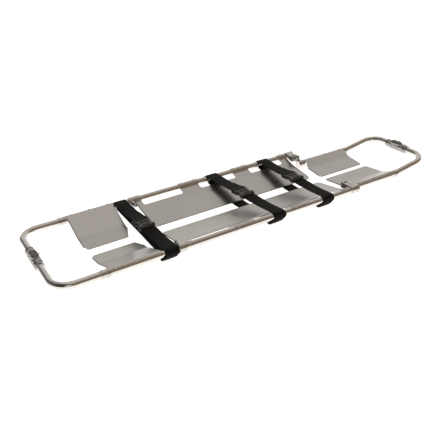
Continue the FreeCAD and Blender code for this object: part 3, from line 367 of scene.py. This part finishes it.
def plastic_finish():
    """Moulded acetal: fine spark-eroded texture, with scuffs that are paler and rougher."""
    material, tree = new_finish("buckle_plastic")
    texture = object_noise(tree, 1500.0, 3.0)
    scuffs = object_noise(tree, 70.0, 6.0, 0.7)
    colour = blend_colours(tree, spread(tree, scuffs, 0.0, 1.0, (0.45, 0.75)),
                           (0.012, 0.0112, 0.0105), (0.052, 0.048, 0.045))
    roughness = spread(tree, scuffs, 0.20, 0.40)
    finish_with(tree, {"Base Color": colour, "Roughness": roughness}, texture, 0.25, 0.0003,
                Specular_IOR_Level=0.8)
    return material


finishes["webbing"] = webbing_finish()
finishes["thread"] = thread_finish()
finishes["buckle_plastic"] = plastic_finish()
print(len(finishes), "finishes ready")

# %% [markdown]
# The part's own nodes take these finishes now, by the material slot that the record gives each of
# them. Bent end loops use the evenly grained polish, because their metal changes direction, while
# straight rails show lines drawn along them.

# %% Finishes on the part's own nodes
def finish_of(name, slot_name):
    """Finish for a node: tubes choose by shape, rings on the tubes are polished like them, and
    everything else goes by its slot."""
    if slot_name == "bright_casting" or name.endswith(("_collar", "_lock_housing")):
        return finishes["polished_casting"]
    if slot_name == "polished_tube":
        return finishes["polished_loop" if name.endswith("_loop") else "polished_rail"]
    return finishes[slot_name]


for entry in frame["record"]["subparts"]:
    made = nodes[entry["node"]]
    for slot in made.material_slots:
        slot.link = "OBJECT"
        slot.material = finish_of(entry["node"], entry["material_slot"])

# %% [markdown]
# New shapes are grids of points. A grid's rows and columns are joined by four-sided faces, a closed
# direction joins back on itself, and the two end rings of a tube are capped. The sign of the
# enclosed volume tells whether the faces point outwards, so a grid drawn the other way round is
# simply turned. Several grids make one piece.

# %% Helpers for surfaces
TUBE = (False, True)             # grid open along the rows and closed round the columns


def grid_faces(points, closed, caps):
    """Quads (i,j), (i+1,j), (i+1,j+1), (i,j+1) of a grid, wrapped where closed, plus end rings."""
    rows, cols = points.shape[:2]
    i, j = np.meshgrid(np.arange(rows - (not closed[0])), np.arange(cols - (not closed[1])), indexing="ij")
    below, beside = (i + 1) % rows, (j + 1) % cols
    quads = np.stack([i * cols + j, below * cols + j, below * cols + beside, i * cols + beside], -1)
    corners = np.stack([i, j, i + 1, j, i + 1, j + 1, i, j + 1], -1).reshape(-1, 4, 2)
    rings = []
    if caps:
        rings = [np.arange(cols)[::-1], (rows - 1) * cols + np.arange(cols)]
    return quads.reshape(-1, 4), corners, rings


def enclosed_volume(vertices, quads, rings):
    """Sum over triangles of a . (b x c) / 6, with the rings as fans."""
    fans = [np.stack([np.full(len(r) - 2, r[0]), r[1:-1], r[2:]], -1) for r in rings]
    triangles = np.concatenate([quads[:, [0, 1, 2]], quads[:, [0, 2, 3]], *fans])
    a, b, c = (vertices[triangles[:, k]] for k in range(3))
    return np.einsum("ij,ij->i", a, np.cross(b, c)).sum() / 6


def make_piece(name, grids, finish, sharp=50.0, uv_name=None):
    """One mesh object from closed grids: (points, closed, caps, uv) each, all faces outwards."""
    vertices, faces, uvs, total = [], [], [], 0
    for points, closed, caps, uv in grids:
        flat = points.reshape(-1, 3)
        quads, corners, rings = grid_faces(points, closed, caps)
        if enclosed_volume(flat, quads, rings) < 0:
            quads, corners = quads[:, ::-1], corners[:, ::-1]
            rings = [r[::-1] for r in rings]
        faces += (quads + total).tolist() + [(r + total).tolist() for r in rings]
        if uv_name:
            uvs.append(np.stack([uv[0][corners[..., 0]], uv[1][corners[..., 1]]], -1).reshape(-1, 2))
            uvs += [np.zeros((len(r), 2)) for r in rings]
        vertices.append(flat)
        total += len(flat)
    mesh = bpy.data.meshes.new(name)
    mesh.from_pydata(np.concatenate(vertices).tolist(), [], faces)
    if uv_name:
        layer = mesh.uv_layers.new(name=uv_name)
        layer.data.foreach_set("uv", np.concatenate(uvs).ravel())
    mesh.polygons.foreach_set("use_smooth", np.ones(len(mesh.polygons), bool))
    mesh.set_sharp_from_angle(angle=math.radians(sharp))
    mesh.materials.append(finishes[finish])
    piece = bpy.data.objects.new(name, mesh)
    bpy.context.collection.objects.link(piece)
    return piece


def eased(at, stops, values):
    """Values at stops joined by smooth steps t*t*(3 - 2t), level at every stop."""
    at = np.asarray(at, float)
    stops, values = np.asarray(stops, float), np.asarray(values, float)
    k = np.clip(np.searchsorted(stops, at, side="right") - 1, 0, len(stops) - 2)
    t = np.clip((at - stops[k]) / (stops[k + 1] - stops[k]), 0, 1)
    return values[k] + (values[k + 1] - values[k]) * t * t * (3 - 2 * t)


def cushion_section(half_width, half_height, corner, count, flat=1.6):
    """Round-cornered section: a rectangle's clamped cosine and sine, plus a circle of the corner's
    radius. Arrays of half sizes give one section per row."""
    angle = np.linspace(0, 2 * math.pi, count, endpoint=False)
    w, h, r = (np.asarray(v, float).reshape(-1, 1) for v in (half_width, half_height, corner))
    x = (w - r) * np.clip(flat * np.cos(angle), -1, 1) + r * np.cos(angle)
    z = (h - r) * np.clip(flat * np.sin(angle), -1, 1) + r * np.sin(angle)
    return x, z


def carried(path, sideways, normal, u, v):
    """Profile (u, v) carried along a path: path + u * sideways + v * normal at each row."""
    return path[:, None, :] + u[..., None] * sideways[:, None, :] + v[..., None] * normal[:, None, :]


def turned(points, angle, at):
    """Points turned about Z by angle and moved to at."""
    c, s = math.cos(angle), math.sin(angle)
    turn = np.array([[c, -s, 0], [s, c, 0], [0, 0, 1]])
    return points @ turn.T + np.asarray(at)


def placed(points, top):
    """Grid drawn about a buckle's middle, turned by the strap's skew and put in its place."""
    at, angle, height = top
    return turned(points.reshape(-1, 3), angle, (at, 0, height)).reshape(points.shape)


# %% [markdown]
# Each strap is one loop of webbing that lies round both rails. It starts inside the buckle's clip,
# runs over the far rail, down and under both plates, up round the near rail and back to the
# buckle's socket. The loop is worked out as one line in the cross-section, lengths and arcs laid
# end to end, and the webbing's flat section is carried along it. The straps cross at a slight skew,
# so the place along the stretcher changes evenly from rail to rail. Where the halves part, the run
# below the gap bends from one half to the other.

# %% Straps: where they lie
# far end, near end and low run of each strap, in metres from the head end tube
STRAP_STATIONS = ((0.3750, 0.3800, 0.3840), (0.7690, 0.8000, 0.7810), (1.0140, 1.0180, 1.0150))
WEB_WIDTH = 50.0 * MM
WEB_THICK = 1.9 * MM
WRAP_GAP = 1.3 * MM              # rail's top to the middle of the webbing
WRAP_BULGE = 3.4 * MM            # the same beside the rail, where the webbing stands off
WRAP_DROP = 8.5 * MM             # how much lower than a tight wrap it hangs
LOW_LEAN = (14.0 * MM, 17.0 * MM, 17.0 * MM)   # near wrap's lower end, towards the head
LEAN_REACH = 75.0 * MM           # inboard of the rail the low run is straight again
FAR_LEAN = 12.0 * MM             # far wrap's lower end, towards the foot
WRAP_FULLNESS = 0.8              # below 1, the wrap is fuller than an ellipse
LOW_Z = 2.2 * MM                 # low run's middle under the gap between the halves
LOW_TURN_Y = 36.0 * MM           # where the low run turns level
CLIP_WEB_Y = 14.0 * MM           # webbing's end in the clip
SOCKET_WEB_Y = -34.0 * MM        # and at the socket's bar
SAG = 3.2 * MM                   # of the top run, half way between buckle and rail
STEP = 3.0 * MM                  # spacing of rows along the webbing


def run(a, b):
    """Points from a up to, but not including, b, about one step apart."""
    count = max(2, int(np.linalg.norm(np.subtract(b, a)) / STEP))
    t = np.linspace(0, 1, count, endpoint=False)[:, None]
    return np.asarray(a) + t * np.subtract(b, a)


def half_loop(radius, top_end, flat_low):
    """One half of the loop in the (y, z) plane on the far side, from the buckle outwards, round
    the rail and down to the middle: a sagging top run, half an ellipse that touches the rail's top
    and hangs free below it, a low run."""
    y = np.linspace(top_end, RAIL_Y, int((RAIL_Y - top_end) / STEP), endpoint=False)
    share = (y - top_end) / (RAIL_Y - top_end)
    top = np.column_stack([y, RAIL_Z + radius - SAG * np.sin(math.pi * share) ** 2])
    wide, high = TUBE_R + WRAP_BULGE, radius + WRAP_DROP / 2
    angle = np.linspace(math.pi / 2, -math.pi / 2, 30)
    fuller = np.sign(np.cos(angle)) * np.abs(np.cos(angle)) ** WRAP_FULLNESS
    arc = np.column_stack([RAIL_Y + wide * fuller, RAIL_Z + radius - high + high * np.sin(angle)])
    low_z = arc[-1, 1] if flat_low else LOW_Z
    low = [run(arc[-1], (LOW_TURN_Y, low_z))[1:], run((LOW_TURN_Y, low_z), (0.0, low_z))]
    return np.concatenate([top, arc, *low])


def web_section():
    """Flat webbing section with round selvedges: width along the first axis, thickness the second."""
    w, t = cushion_section(WEB_WIDTH / 2, WEB_THICK / 2, WEB_THICK / 2, 44, 1.02)
    edge = np.abs(w) / (WEB_WIDTH / 2)
    return w[0], (t * (1.0 - 0.35 * eased(edge, (0, 0.9, 1.0), (0, 0, 1))))[0]


def strip_grid(line, x, bow=0.0):
    """Webbing carried along a (y, z) line, x metres along the stretcher, with its UV in metres."""
    path = np.column_stack([np.broadcast_to(x, len(line)), line])
    slope = np.gradient(line, axis=0)
    slope /= np.linalg.norm(slope, axis=1)[:, None]
    normal = np.column_stack([np.zeros(len(line)), -slope[:, 1], slope[:, 0]])
    sideways = np.tile([1.0, 0.0, 0.0], (len(line), 1))
    u, v = web_section()
    v = v[None, :] + bow * (1 - (u / (WEB_WIDTH / 2)) ** 2)[None, :]
    along = np.concatenate([[0], np.cumsum(np.linalg.norm(np.diff(line, axis=0), axis=1))])
    shape = (len(line), len(u))
    points = carried(path, sideways, normal, np.broadcast_to(u, shape), np.broadcast_to(v, shape))
    return points, TUBE, True, (along, np.append(u, u[0]))


# %% Straps: webbing
strap_tops = []
for k, (far_at, near_at, low_at) in enumerate(STRAP_STATIONS, start=1):
    tube = SLIDE_R if k == 1 else TUBE_R
    radius = tube + WRAP_GAP
    far_line = half_loop(radius, CLIP_WEB_Y, k == 1)
    near_line = half_loop(radius, -SOCKET_WEB_Y, k == 1) * (-1, 1)
    line = np.concatenate([far_line, near_line[::-1]])
    centre = (far_at + near_at) / 2
    skew = (near_at - far_at) / (2 * RAIL_Y)
    y, z = line[:, 0], line[:, 1]
    top_x = centre - skew * y
    low_x = np.interp(y, (-RAIL_Y, LEAN_REACH - RAIL_Y, 0.0, RAIL_Y),
                      (near_at - LOW_LEAN[k - 1], near_at, low_at, far_at + FAR_LEAN))
    bottom = RAIL_Z - radius - WRAP_DROP
    rise = np.clip((z - bottom) / (RAIL_Z + radius - bottom), 0, 1)
    share = np.where(np.abs(y) > RAIL_Y, eased(rise, (0, 0.7), (0, 1)), z > RAIL_Z)
    x = station(share * top_x + (1 - share) * low_x)
    piece = make_piece("strap_%d_loop" % k, [strip_grid(line, x)], "webbing", uv_name="webbing")
    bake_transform(piece)
    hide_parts("strap_%d_far_webbing" % k, "strap_%d_near_webbing" % k)
    strap_tops.append((station(centre), math.atan(skew), RAIL_Z + radius))
    length = np.linalg.norm(np.diff(line, axis=0), axis=1).sum()
    print("strap %d: %.3f m of webbing, skew %.1f degrees" % (k, length, math.degrees(math.atan(skew))))

# %% [markdown]
# At the socket the webbing passes round a bar and is sewn back on itself with a box of stitches; at
# the clip it is threaded through two slots, so a free tail lies on top. Both second layers are short
# strips of the same section. A stitch is a small lozenge; hundreds are laid out by one formula.

# %% Straps: sewn end, tail and stitches
SEWN_LENGTH = 44.0 * MM
TAIL_LENGTH = 62.0 * MM
BAR_GAP = 3.0 * MM               # socket's bar to the start of the sewn end
STITCH_MARGIN = 5.0 * MM         # box of stitches inside the edges of the webbing
TAIL_START = 24.0 * MM
TAIL_STOPS = (24 * MM, 29 * MM, 34 * MM, 46 * MM, 86 * MM)
TAIL_HEIGHTS = (1.0 * MM, 6.2 * MM, 6.0 * MM, 2.4 * MM, 0.2 * MM)
STITCH_PITCH = 4.2 * MM
STITCH = (2.6 * MM, 0.7 * MM, 0.35 * MM)        # length, width and height of one stitch


def placed_strip(name, line, top, bow=0.0):
    """Strip drawn about the buckle's middle, turned by the strap's skew and put in its place."""
    points, closed, caps, uv = strip_grid(line, 0.0, bow)
    return make_piece(name, [(placed(points, top), closed, caps, uv)], "webbing", uv_name="webbing")


def top_sag(y):
    """Height of the near top run over the buckle's level: minus sag times the sine squared."""
    return -SAG * np.sin(math.pi * (-y + SOCKET_WEB_Y) / (RAIL_Y + SOCKET_WEB_Y)) ** 2


def stitch_rows(lines, pitch=STITCH_PITCH):
    """Lozenges along straight lines ((x0, y0), (x1, y1)): centre + length*cos + width*sin, domed."""
    centres, headings = [], []
    for a, b in lines:
        a, b = np.array(a), np.array(b)
        count = max(2, int(np.linalg.norm(b - a) / pitch))
        t = (np.arange(count) + 0.5)[:, None] / count
        centres.append(a + t * (b - a))
        headings.append(np.full(count, math.atan2(*(b - a)[::-1])))
    return np.concatenate(centres), np.concatenate(headings)


def stitch_grids(centres, headings, z):
    """One closed grid per stitch: rings of a flattened spindle along the stitch."""
    t = np.linspace(-1, 1, 5)
    around = np.linspace(0, 2 * math.pi, 6, endpoint=False)
    girth = np.sqrt(np.clip(1.04 - t * t, 0, 1))
    along = np.broadcast_to((t * STITCH[0] / 2)[:, None], (5, 6))
    wide = girth[:, None] * np.cos(around) * STITCH[1] / 2
    high = girth[:, None] * np.sin(around) * STITCH[2]
    for (cx, cy), heading in zip(centres, headings):
        c, s = math.cos(heading), math.sin(heading)
        yield np.stack([cx + c * along - s * wide, cy + s * along + c * wide, z + high], -1)


for k, top in enumerate(strap_tops, start=1):
    start = SOCKET_WEB_Y - BAR_GAP
    y = np.linspace(start, start - SEWN_LENGTH, 18)
    under = top_sag(y) - WEB_THICK * 1.02
    lower = placed_strip("strap_%d_sewn_end" % k, np.column_stack([y, under]), top)
    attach(lower, "near_torso")
    near, far = start - STITCH_MARGIN - 1 * MM, start - SEWN_LENGTH + STITCH_MARGIN
    half = WEB_WIDTH / 2 - STITCH_MARGIN
    box = [((-half, near), (half, near)), ((-half, far), (half, far)), ((-half, near), (-half, far)),
           ((half, near), (half, far)), ((-half, near), (half, far)), ((half, near), (-half, far))]
    centres, headings = stitch_rows(box)
    grids = []
    for grid, drop in zip(stitch_grids(centres, headings, WEB_THICK / 2), top_sag(centres[:, 1])):
        grid[..., 2] += drop
        grids.append((placed(grid, top), TUBE, True, None))
    stitches = make_piece("strap_%d_stitches" % k, grids, "thread")
    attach(stitches, "near_torso")
    y = np.linspace(TAIL_START, TAIL_START + TAIL_LENGTH, 24)
    lift = eased(y, TAIL_STOPS, TAIL_HEIGHTS)
    tail = placed_strip("strap_%d_tail" % k, np.column_stack([y, lift]), top, 0.4 * MM)
    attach(tail, "clip_%d" % k)
print("sewn ends, tails and stitches on", len(strap_tops), "straps")

# %% [markdown]
# A side-release buckle is two mouldings. The socket has a wide rounded end that holds the sewn
# webbing, and a narrower waist whose open sides let the clip's arms bulge out, where a finger and
# thumb press them. The clip is a slotted bar with those two arms. Each is a round-cornered section
# whose width and thickness change along the strap, with grip ribs and slots pressed into its top.

# %% Buckles
# outlines in mm: places along the strap, half widths and half heights there
SOCKET_STOPS = (-40, -38.5, -34.5, -25, -21.5, -19, 0, 3, 9.5)
SOCKET_WIDE = (23, 26, 29.4, 30, 28.0, 23.6, 23.6, 28.4, 28.4)
SOCKET_HIGH = (3.2, 5.4, 7.4, 8.0, 7.8, 7.2, 7.0, 7.4, 7.0)
GRIP_RIBS = (-29.5, -26.5, -23.5)
CLIP_STOPS = (11, 12.5, 18, 19.5, 25, 26.5, 29.5, 31)
CLIP_WIDE = (27.5, 29.4, 29.6, 26.4, 26.4, 29.8, 29.2, 25.5)
CLIP_HIGH = (5.0, 6.6, 7.2, 7.2, 7.2, 7.6, 6.4, 3.8)
CLIP_SLOTS = ((14.0, 17.5), (21.5, 24.5))
ARM_ROOT, ARM_TIP, ARM_LENGTH = 12.5, -19.0, 31.5
ARM_X, ARM_BOW, ARM_HALF_HEIGHT, ARM_DROP = 22.4, 4.0, 3.3, 0.4


def in_mm(values):
    """Values given in millimetres, as an array in metres."""
    return np.array(values) * MM


def window(x, y, x_half, y_low, y_high, edge=1.2 * MM):
    """1 inside a rectangle and 0 outside, with smooth steps of the given width at its edges."""
    inside_x = eased(np.abs(x), (x_half - edge, x_half), (1, 0))
    inside_y = eased(y, (y_low - edge, y_low), (0, 1)) * eased(y, (y_high, y_high + edge), (1, 0))
    return inside_x * inside_y


def moulding(y, half_width, half_height, corner, count=132):
    """Grid of a moulding drawn along Y, before its details are pressed in."""
    x, z = cushion_section(half_width, half_height, corner, count)
    return x, np.broadcast_to(y[:, None], x.shape).copy(), z


def socket_moulding():
    """Socket: its outline, less the webbing slot, grip ribs and the window over the clip's arms."""
    y = np.linspace(SOCKET_STOPS[0], SOCKET_STOPS[-1], 112) * MM
    wide = eased(y, in_mm(SOCKET_STOPS), in_mm(SOCKET_WIDE))
    high = eased(y, in_mm(SOCKET_STOPS), in_mm(SOCKET_HIGH))
    x, yy, z = moulding(y, wide, high, 3.0 * MM)
    top = z > 0
    press = 2.4 * MM * window(x, yy, 24 * MM, -37 * MM, -33.5 * MM)
    for centre in GRIP_RIBS:
        press += 0.8 * MM * window(x, yy, 15 * MM, (centre - 0.7) * MM, (centre + 0.7) * MM, 0.9 * MM)
    press += 2.6 * MM * window(x, yy, 15 * MM, -17 * MM, 1 * MM, 2.5 * MM)
    press -= 1.2 * MM * window(x, yy, 7 * MM, -12 * MM, -2 * MM, 2.0 * MM)
    z = z - np.where(top, press, 0)
    return np.stack([x, yy, z], -1)


def clip_moulding():
    """Clip's bar: its outline, less the two slots that the webbing is threaded through."""
    y = np.linspace(CLIP_STOPS[0], CLIP_STOPS[-1], 60) * MM
    wide = eased(y, in_mm(CLIP_STOPS), in_mm(CLIP_WIDE))
    high = eased(y, in_mm(CLIP_STOPS), in_mm(CLIP_HIGH))
    x, yy, z = moulding(y, wide, high, 2.6 * MM)
    press = np.zeros_like(x)
    for low, high_y in CLIP_SLOTS:
        press += 3.6 * MM * window(x, yy, 24.5 * MM, low * MM, high_y * MM, 0.9 * MM)
    z = z - np.where(z > 0, press, 0)
    return np.stack([x, yy, z], -1)


def clip_arm(side):
    """Springy arm of the clip: a rounded bar that bows outwards along a half sine."""
    y = np.linspace(ARM_ROOT, ARM_TIP, 46) * MM
    share = (ARM_ROOT * MM - y) / (ARM_LENGTH * MM)
    path_x = side * (ARM_X * MM + ARM_BOW * MM * np.sin(math.pi * np.clip(share * 1.15, 0, 1)) ** 2)
    wide = eased(share, (0, 0.5, 0.85, 1.0), in_mm((3.4, 2.7, 2.7, 1.4)))
    u, v = cushion_section(wide, np.full(len(y), ARM_HALF_HEIGHT * MM), 1.3 * MM, 36)
    x = path_x[:, None] + u
    return np.stack([x, np.broadcast_to(y[:, None], x.shape), v - ARM_DROP * MM], -1)


for k, top in enumerate(strap_tops, start=1):
    shell = make_piece("strap_%d_socket" % k, [(placed(socket_moulding(), top), TUBE, True, None)],
                       "buckle_plastic", 35.0)
    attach(shell, "near_torso")
    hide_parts("strap_%d_buckle_socket" % k)
    grids = [(placed(clip_moulding(), top), TUBE, True, None)]
    grids += [(placed(clip_arm(side), top), TUBE, True, None) for side in (-1, 1)]
    clip = make_piece("strap_%d_clip" % k, grids, "buckle_plastic", 35.0)
    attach(clip, "clip_%d" % k)
    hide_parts("strap_%d_buckle_clip" % k)
    print("buckle %d: %d faces" % (k, len(shell.data.polygons) + len(clip.data.polygons)))

# %% [markdown]
# The couplings are alloy castings on the end tubes. The body is thicker than the tube, swells to a
# flat near face and narrows to a ring where the far tube enters. A raised oval wall on top guards
# the release lever. The body is one section carried along the tube and the wall is a small
# round-cornered profile carried round an oval, drawn about the tube's axis and then put in place,
# the foot one tilted with its tube.

# %% Couplings: shapes about the tube's axis
LEVER_HALF = 8.3 * MM
WALL_RISE = 17.2 * MM            # top of the oval wall above the tube's axis
BODY_TOP = 12.4 * MM             # body's top under the lever
RING = 6.0 * MM                  # length of the ring where the far tube enters
BODY_STOPS = (-36, -34.2, -29, -27, -16, -13, 36, 44)      # mm from the middle, up to the ring
BODY_WIDE = (15.4, 16.6, 16.6, 15.4, 15.4, 16.8, 16.8, 15.6, 14.8, 16.2, 16.2, 14.8, 14.8, 13.8)
BODY_HIGH = (15.2, 16.4, 16.4, 15.2, 15.2, 15.0, 15.0, 15.4, 14.8, 16.2, 16.2, 14.8, 14.8, 13.8)
BODY_CORNER = (12, 12, 12, 12, 12, 12, 12, 13, 14.5, 15.8, 15.8, 14.6, 14.6, 13.6)
WALL_HALF_X, WALL_HALF_Y, WALL_CENTRE_Y = 12.4 * MM, 27.2 * MM, 11.0 * MM
WALL_HALF_THICK, WALL_HALF_HIGH = 1.7 * MM, 4.6 * MM
WALL_SQUARENESS = 0.62           # below 1, the oval is squarer than an ellipse
LEVER_STOPS = (-13.2, -11.5, -4, 6, 10, 30, 34)
LEVER_WIDE = (6.4, 7.8, LEVER_HALF / MM, 8.3, 8.3, 8.3, 7.0)
LEVER_RISE_STOPS = (-0.0132, -0.006, 0.008, 0.014, 0.026, 0.034)
LEVER_RISE = (15.2, 15.6, 16.4, 15.8, 15.2, 15.9)
LEVER_RIBS = (18.0, 21.2, 24.4, 27.6)


def coupling_body(far):
    """Casting along Y from its near face to its far ring, far metres from the middle."""
    y = np.concatenate([np.linspace(-36 * MM, far, 150), np.linspace(far + 0.2 * MM, far + RING, 14)])
    ring = [far - 6 * MM, far - 3 * MM, far, far + 1.5 * MM, far + 4.5 * MM, far + RING]
    stops = np.concatenate([in_mm(BODY_STOPS), ring])
    wide, high, corner = (eased(y, stops, in_mm(row)) for row in (BODY_WIDE, BODY_HIGH, BODY_CORNER))
    x, z = cushion_section(wide, high, np.minimum(corner, np.minimum(wide, high)), 120)
    yy = np.broadcast_to(y[:, None], x.shape)
    bed = window(x, yy, 12.5 * MM, -15 * MM, 37 * MM, 2.0 * MM)
    z = np.where(z > 0, z * (1 - bed) + np.minimum(z, BODY_TOP) * bed, z)
    return np.stack([x, yy, z], -1)


def oval_wall():
    """Closed wall: a thin upright profile carried round a stadium, with its top edge rounded."""
    turn = np.linspace(0, 2 * math.pi, 96, endpoint=False)
    ox = WALL_HALF_X * np.sign(np.cos(turn)) * np.abs(np.cos(turn)) ** WALL_SQUARENESS
    oy = np.sign(np.sin(turn)) * np.abs(np.sin(turn)) ** WALL_SQUARENESS
    oy = WALL_CENTRE_Y + WALL_HALF_Y * oy
    path = np.column_stack([ox, oy, np.zeros_like(ox)])
    along = np.roll(path, -1, 0) - np.roll(path, 1, 0)
    along /= np.linalg.norm(along, axis=1)[:, None]
    outward = np.column_stack([along[:, 1], -along[:, 0], np.zeros(len(along))])
    u, v = cushion_section(WALL_HALF_THICK, WALL_HALF_HIGH, 1.5 * MM, 24)
    u, v = np.tile(u, (len(path), 1)), np.tile(v, (len(path), 1)) + WALL_RISE - WALL_HALF_HIGH
    upright = np.tile([0.0, 0.0, 1.0], (len(path), 1))
    return carried(path, outward, upright, u, v)


def release_lever():
    """Lever plate with a dished thumb pad, cross ribs and a hooked tip over the catch."""
    y = np.linspace(LEVER_STOPS[0], LEVER_STOPS[-1], 96) * MM
    wide = eased(y, in_mm(LEVER_STOPS), in_mm(LEVER_WIDE))
    x, z = cushion_section(wide, np.full(len(y), 2.0 * MM), 1.2 * MM, 72)
    yy = np.broadcast_to(y[:, None], x.shape)
    rise = eased(y, LEVER_RISE_STOPS, in_mm(LEVER_RISE))
    press = np.zeros_like(x)
    for centre in LEVER_RIBS:
        press -= 0.6 * MM * window(x, yy, 5.5 * MM, (centre - 0.5) * MM, (centre + 0.5) * MM, 0.8 * MM)
    z = z + rise[:, None] - np.where(z > 0, press, 0)
    return np.stack([x, yy, z], -1)


def at_head(points):
    """The head coupling stands upright on the head end tube."""
    return points + (HEAD_X, 0, RAIL_Z)


KINK_STATION = 1.417             # where the foot loop starts to rise
FOOT_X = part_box("far_foot_loop")[1].x - TUBE_R
FOOT_RISE = math.atan2(RAIL_Z - TUBE_R, FOOT_X - station(KINK_STATION))


def at_foot(points):
    """The foot coupling faces the other way and leans with the foot loop's rise."""
    c, s = math.cos(FOOT_RISE), math.sin(FOOT_RISE)
    x, y, z = -points[..., 0], points[..., 1], points[..., 2]
    return np.stack([FOOT_X + c * x - s * z, y, RAIL_Z + s * x + c * z], -1)


# %% Couplings: pieces
for end, put, far, body in (("head", at_head, 66 * MM, "far_head"), ("foot", at_foot, 58 * MM, "far_leg")):
    casting = make_piece(end + "_coupling_casting",
                         [(put(coupling_body(far)), TUBE, True, None),
                          (put(oval_wall()), (True, True), False, None)], "dark_casting", 40.0)
    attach(casting, body)
    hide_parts(end + "_coupling_housing")
    lever = make_piece(end + "_thumb_lever", [(put(release_lever()), TUBE, True, None)], "lever", 40.0)
    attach(lever, end + "_lever")
    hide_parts(end + "_release_lever")
    print(end, "coupling:", len(casting.data.polygons), "faces, lever", len(lever.data.polygons))

# %% [markdown]
# A load plate's end edges are turned down into a narrow rolled edge, which stiffens the sheet and
# takes the sharpness off it. Seen from above it reads as a thin dark line, which is painted shade and
# dark reflection in the roll's colour. The roll is a small round section carried along the plate's
# own cross-section: straight lines from the hem over each bend to the rail. Where a cut corner
# slants the sheet's end, the roll slants with it.

# %% Rolled plate edges
ROLL_R = 1.9 * MM
ROLL_OUT = 0.9 * MM              # roll's centre beyond the sheet's end


def plate_line(profile, start, stop):
    """Points of a plate's cross-section from one Y to another, along its straight stretches."""
    y = np.linspace(start, stop, 48)
    return np.column_stack([y, np.interp(y, *zip(*profile))])


def rolled_edge(name, line, x0, x1, side, body):
    """Roll of radius ROLL_R below the sheet's edge, along a (y, z) line; x eases from x0 to x1."""
    share = np.linspace(0, 1, len(line))
    path = np.column_stack([x0 + (x1 - x0) * share, side * line[:, 0], line[:, 1] - ROLL_R * 0.4])
    along = np.gradient(path, axis=0)
    along /= np.linalg.norm(along, axis=1)[:, None]
    outward = np.cross(along, (0.0, 0.0, 1.0))
    outward /= np.linalg.norm(outward, axis=1)[:, None]
    normal = np.cross(outward, along)
    around = np.linspace(0, 2 * math.pi, 14, endpoint=False)
    u = np.tile(ROLL_R * np.cos(around), (len(line), 1))
    v = np.tile(ROLL_R * np.sin(around), (len(line), 1))
    # the roll's finish is painted shade: the sheet's alloy coloured nearly black
    piece = make_piece(name, [(carried(path, outward, normal, u, v), TUBE, True, None)], "folded_edge_painted_shade")
    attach(piece, body)


PLATES = {       # (y, z) of the sheet's top: hem, bends, rail
    "head": ((0.0255, 0.0042), (RAIL_Y - 0.1075, RAIL_Z - 0.0265), (RAIL_Y - 0.006, RAIL_Z + 0.0118)),
    "torso": ((0.0265, 0.0082), (RAIL_Y - 0.0585, RAIL_Z - 0.0142), (RAIL_Y - 0.0170, RAIL_Z - 0.0006),
              (RAIL_Y - 0.0080, RAIL_Z + 0.0110)),
    "leg": ((0.0150, 0.0052), (0.1000, 0.0080), (0.1450, 0.0245)),
}
EDGES = {        # edge, end of the plate, from y, stop short of the rail, beyond the end: hem, rail
    "head": (("_head_edge", -1, 0.040, 0.012, ROLL_OUT, ROLL_OUT),
             ("_foot_edge", 1, 0.068, 0.004, -0.0022, ROLL_OUT)),
    "torso": (("_head_edge", -1, 0.036, 0.0, ROLL_OUT, ROLL_OUT),
              ("_foot_edge", 1, 0.036, 0.0, ROLL_OUT, ROLL_OUT)),
    "leg": (("_head_edge", -1, 0.0245, 0.041, -0.0001, -0.0080),),
}
rolls = 0
for section, profile in PLATES.items():
    low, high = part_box("far_%s_panel" % section)
    for side, half in ((1, "far"), (-1, "near")):
        body = half + "_" + section
        for edge, end, from_y, short, at_hem, at_rail in EDGES[section]:
            line = plate_line(profile, from_y, profile[-1][0] - short)
            sheet_end = low.x if end < 0 else high.x
            rolled_edge("%s_plate" % body + edge, line, sheet_end + end * at_hem,
                        sheet_end + end * at_rail, side, body)
        rolls += 1
print("rolled edges on", rolls, "plates")
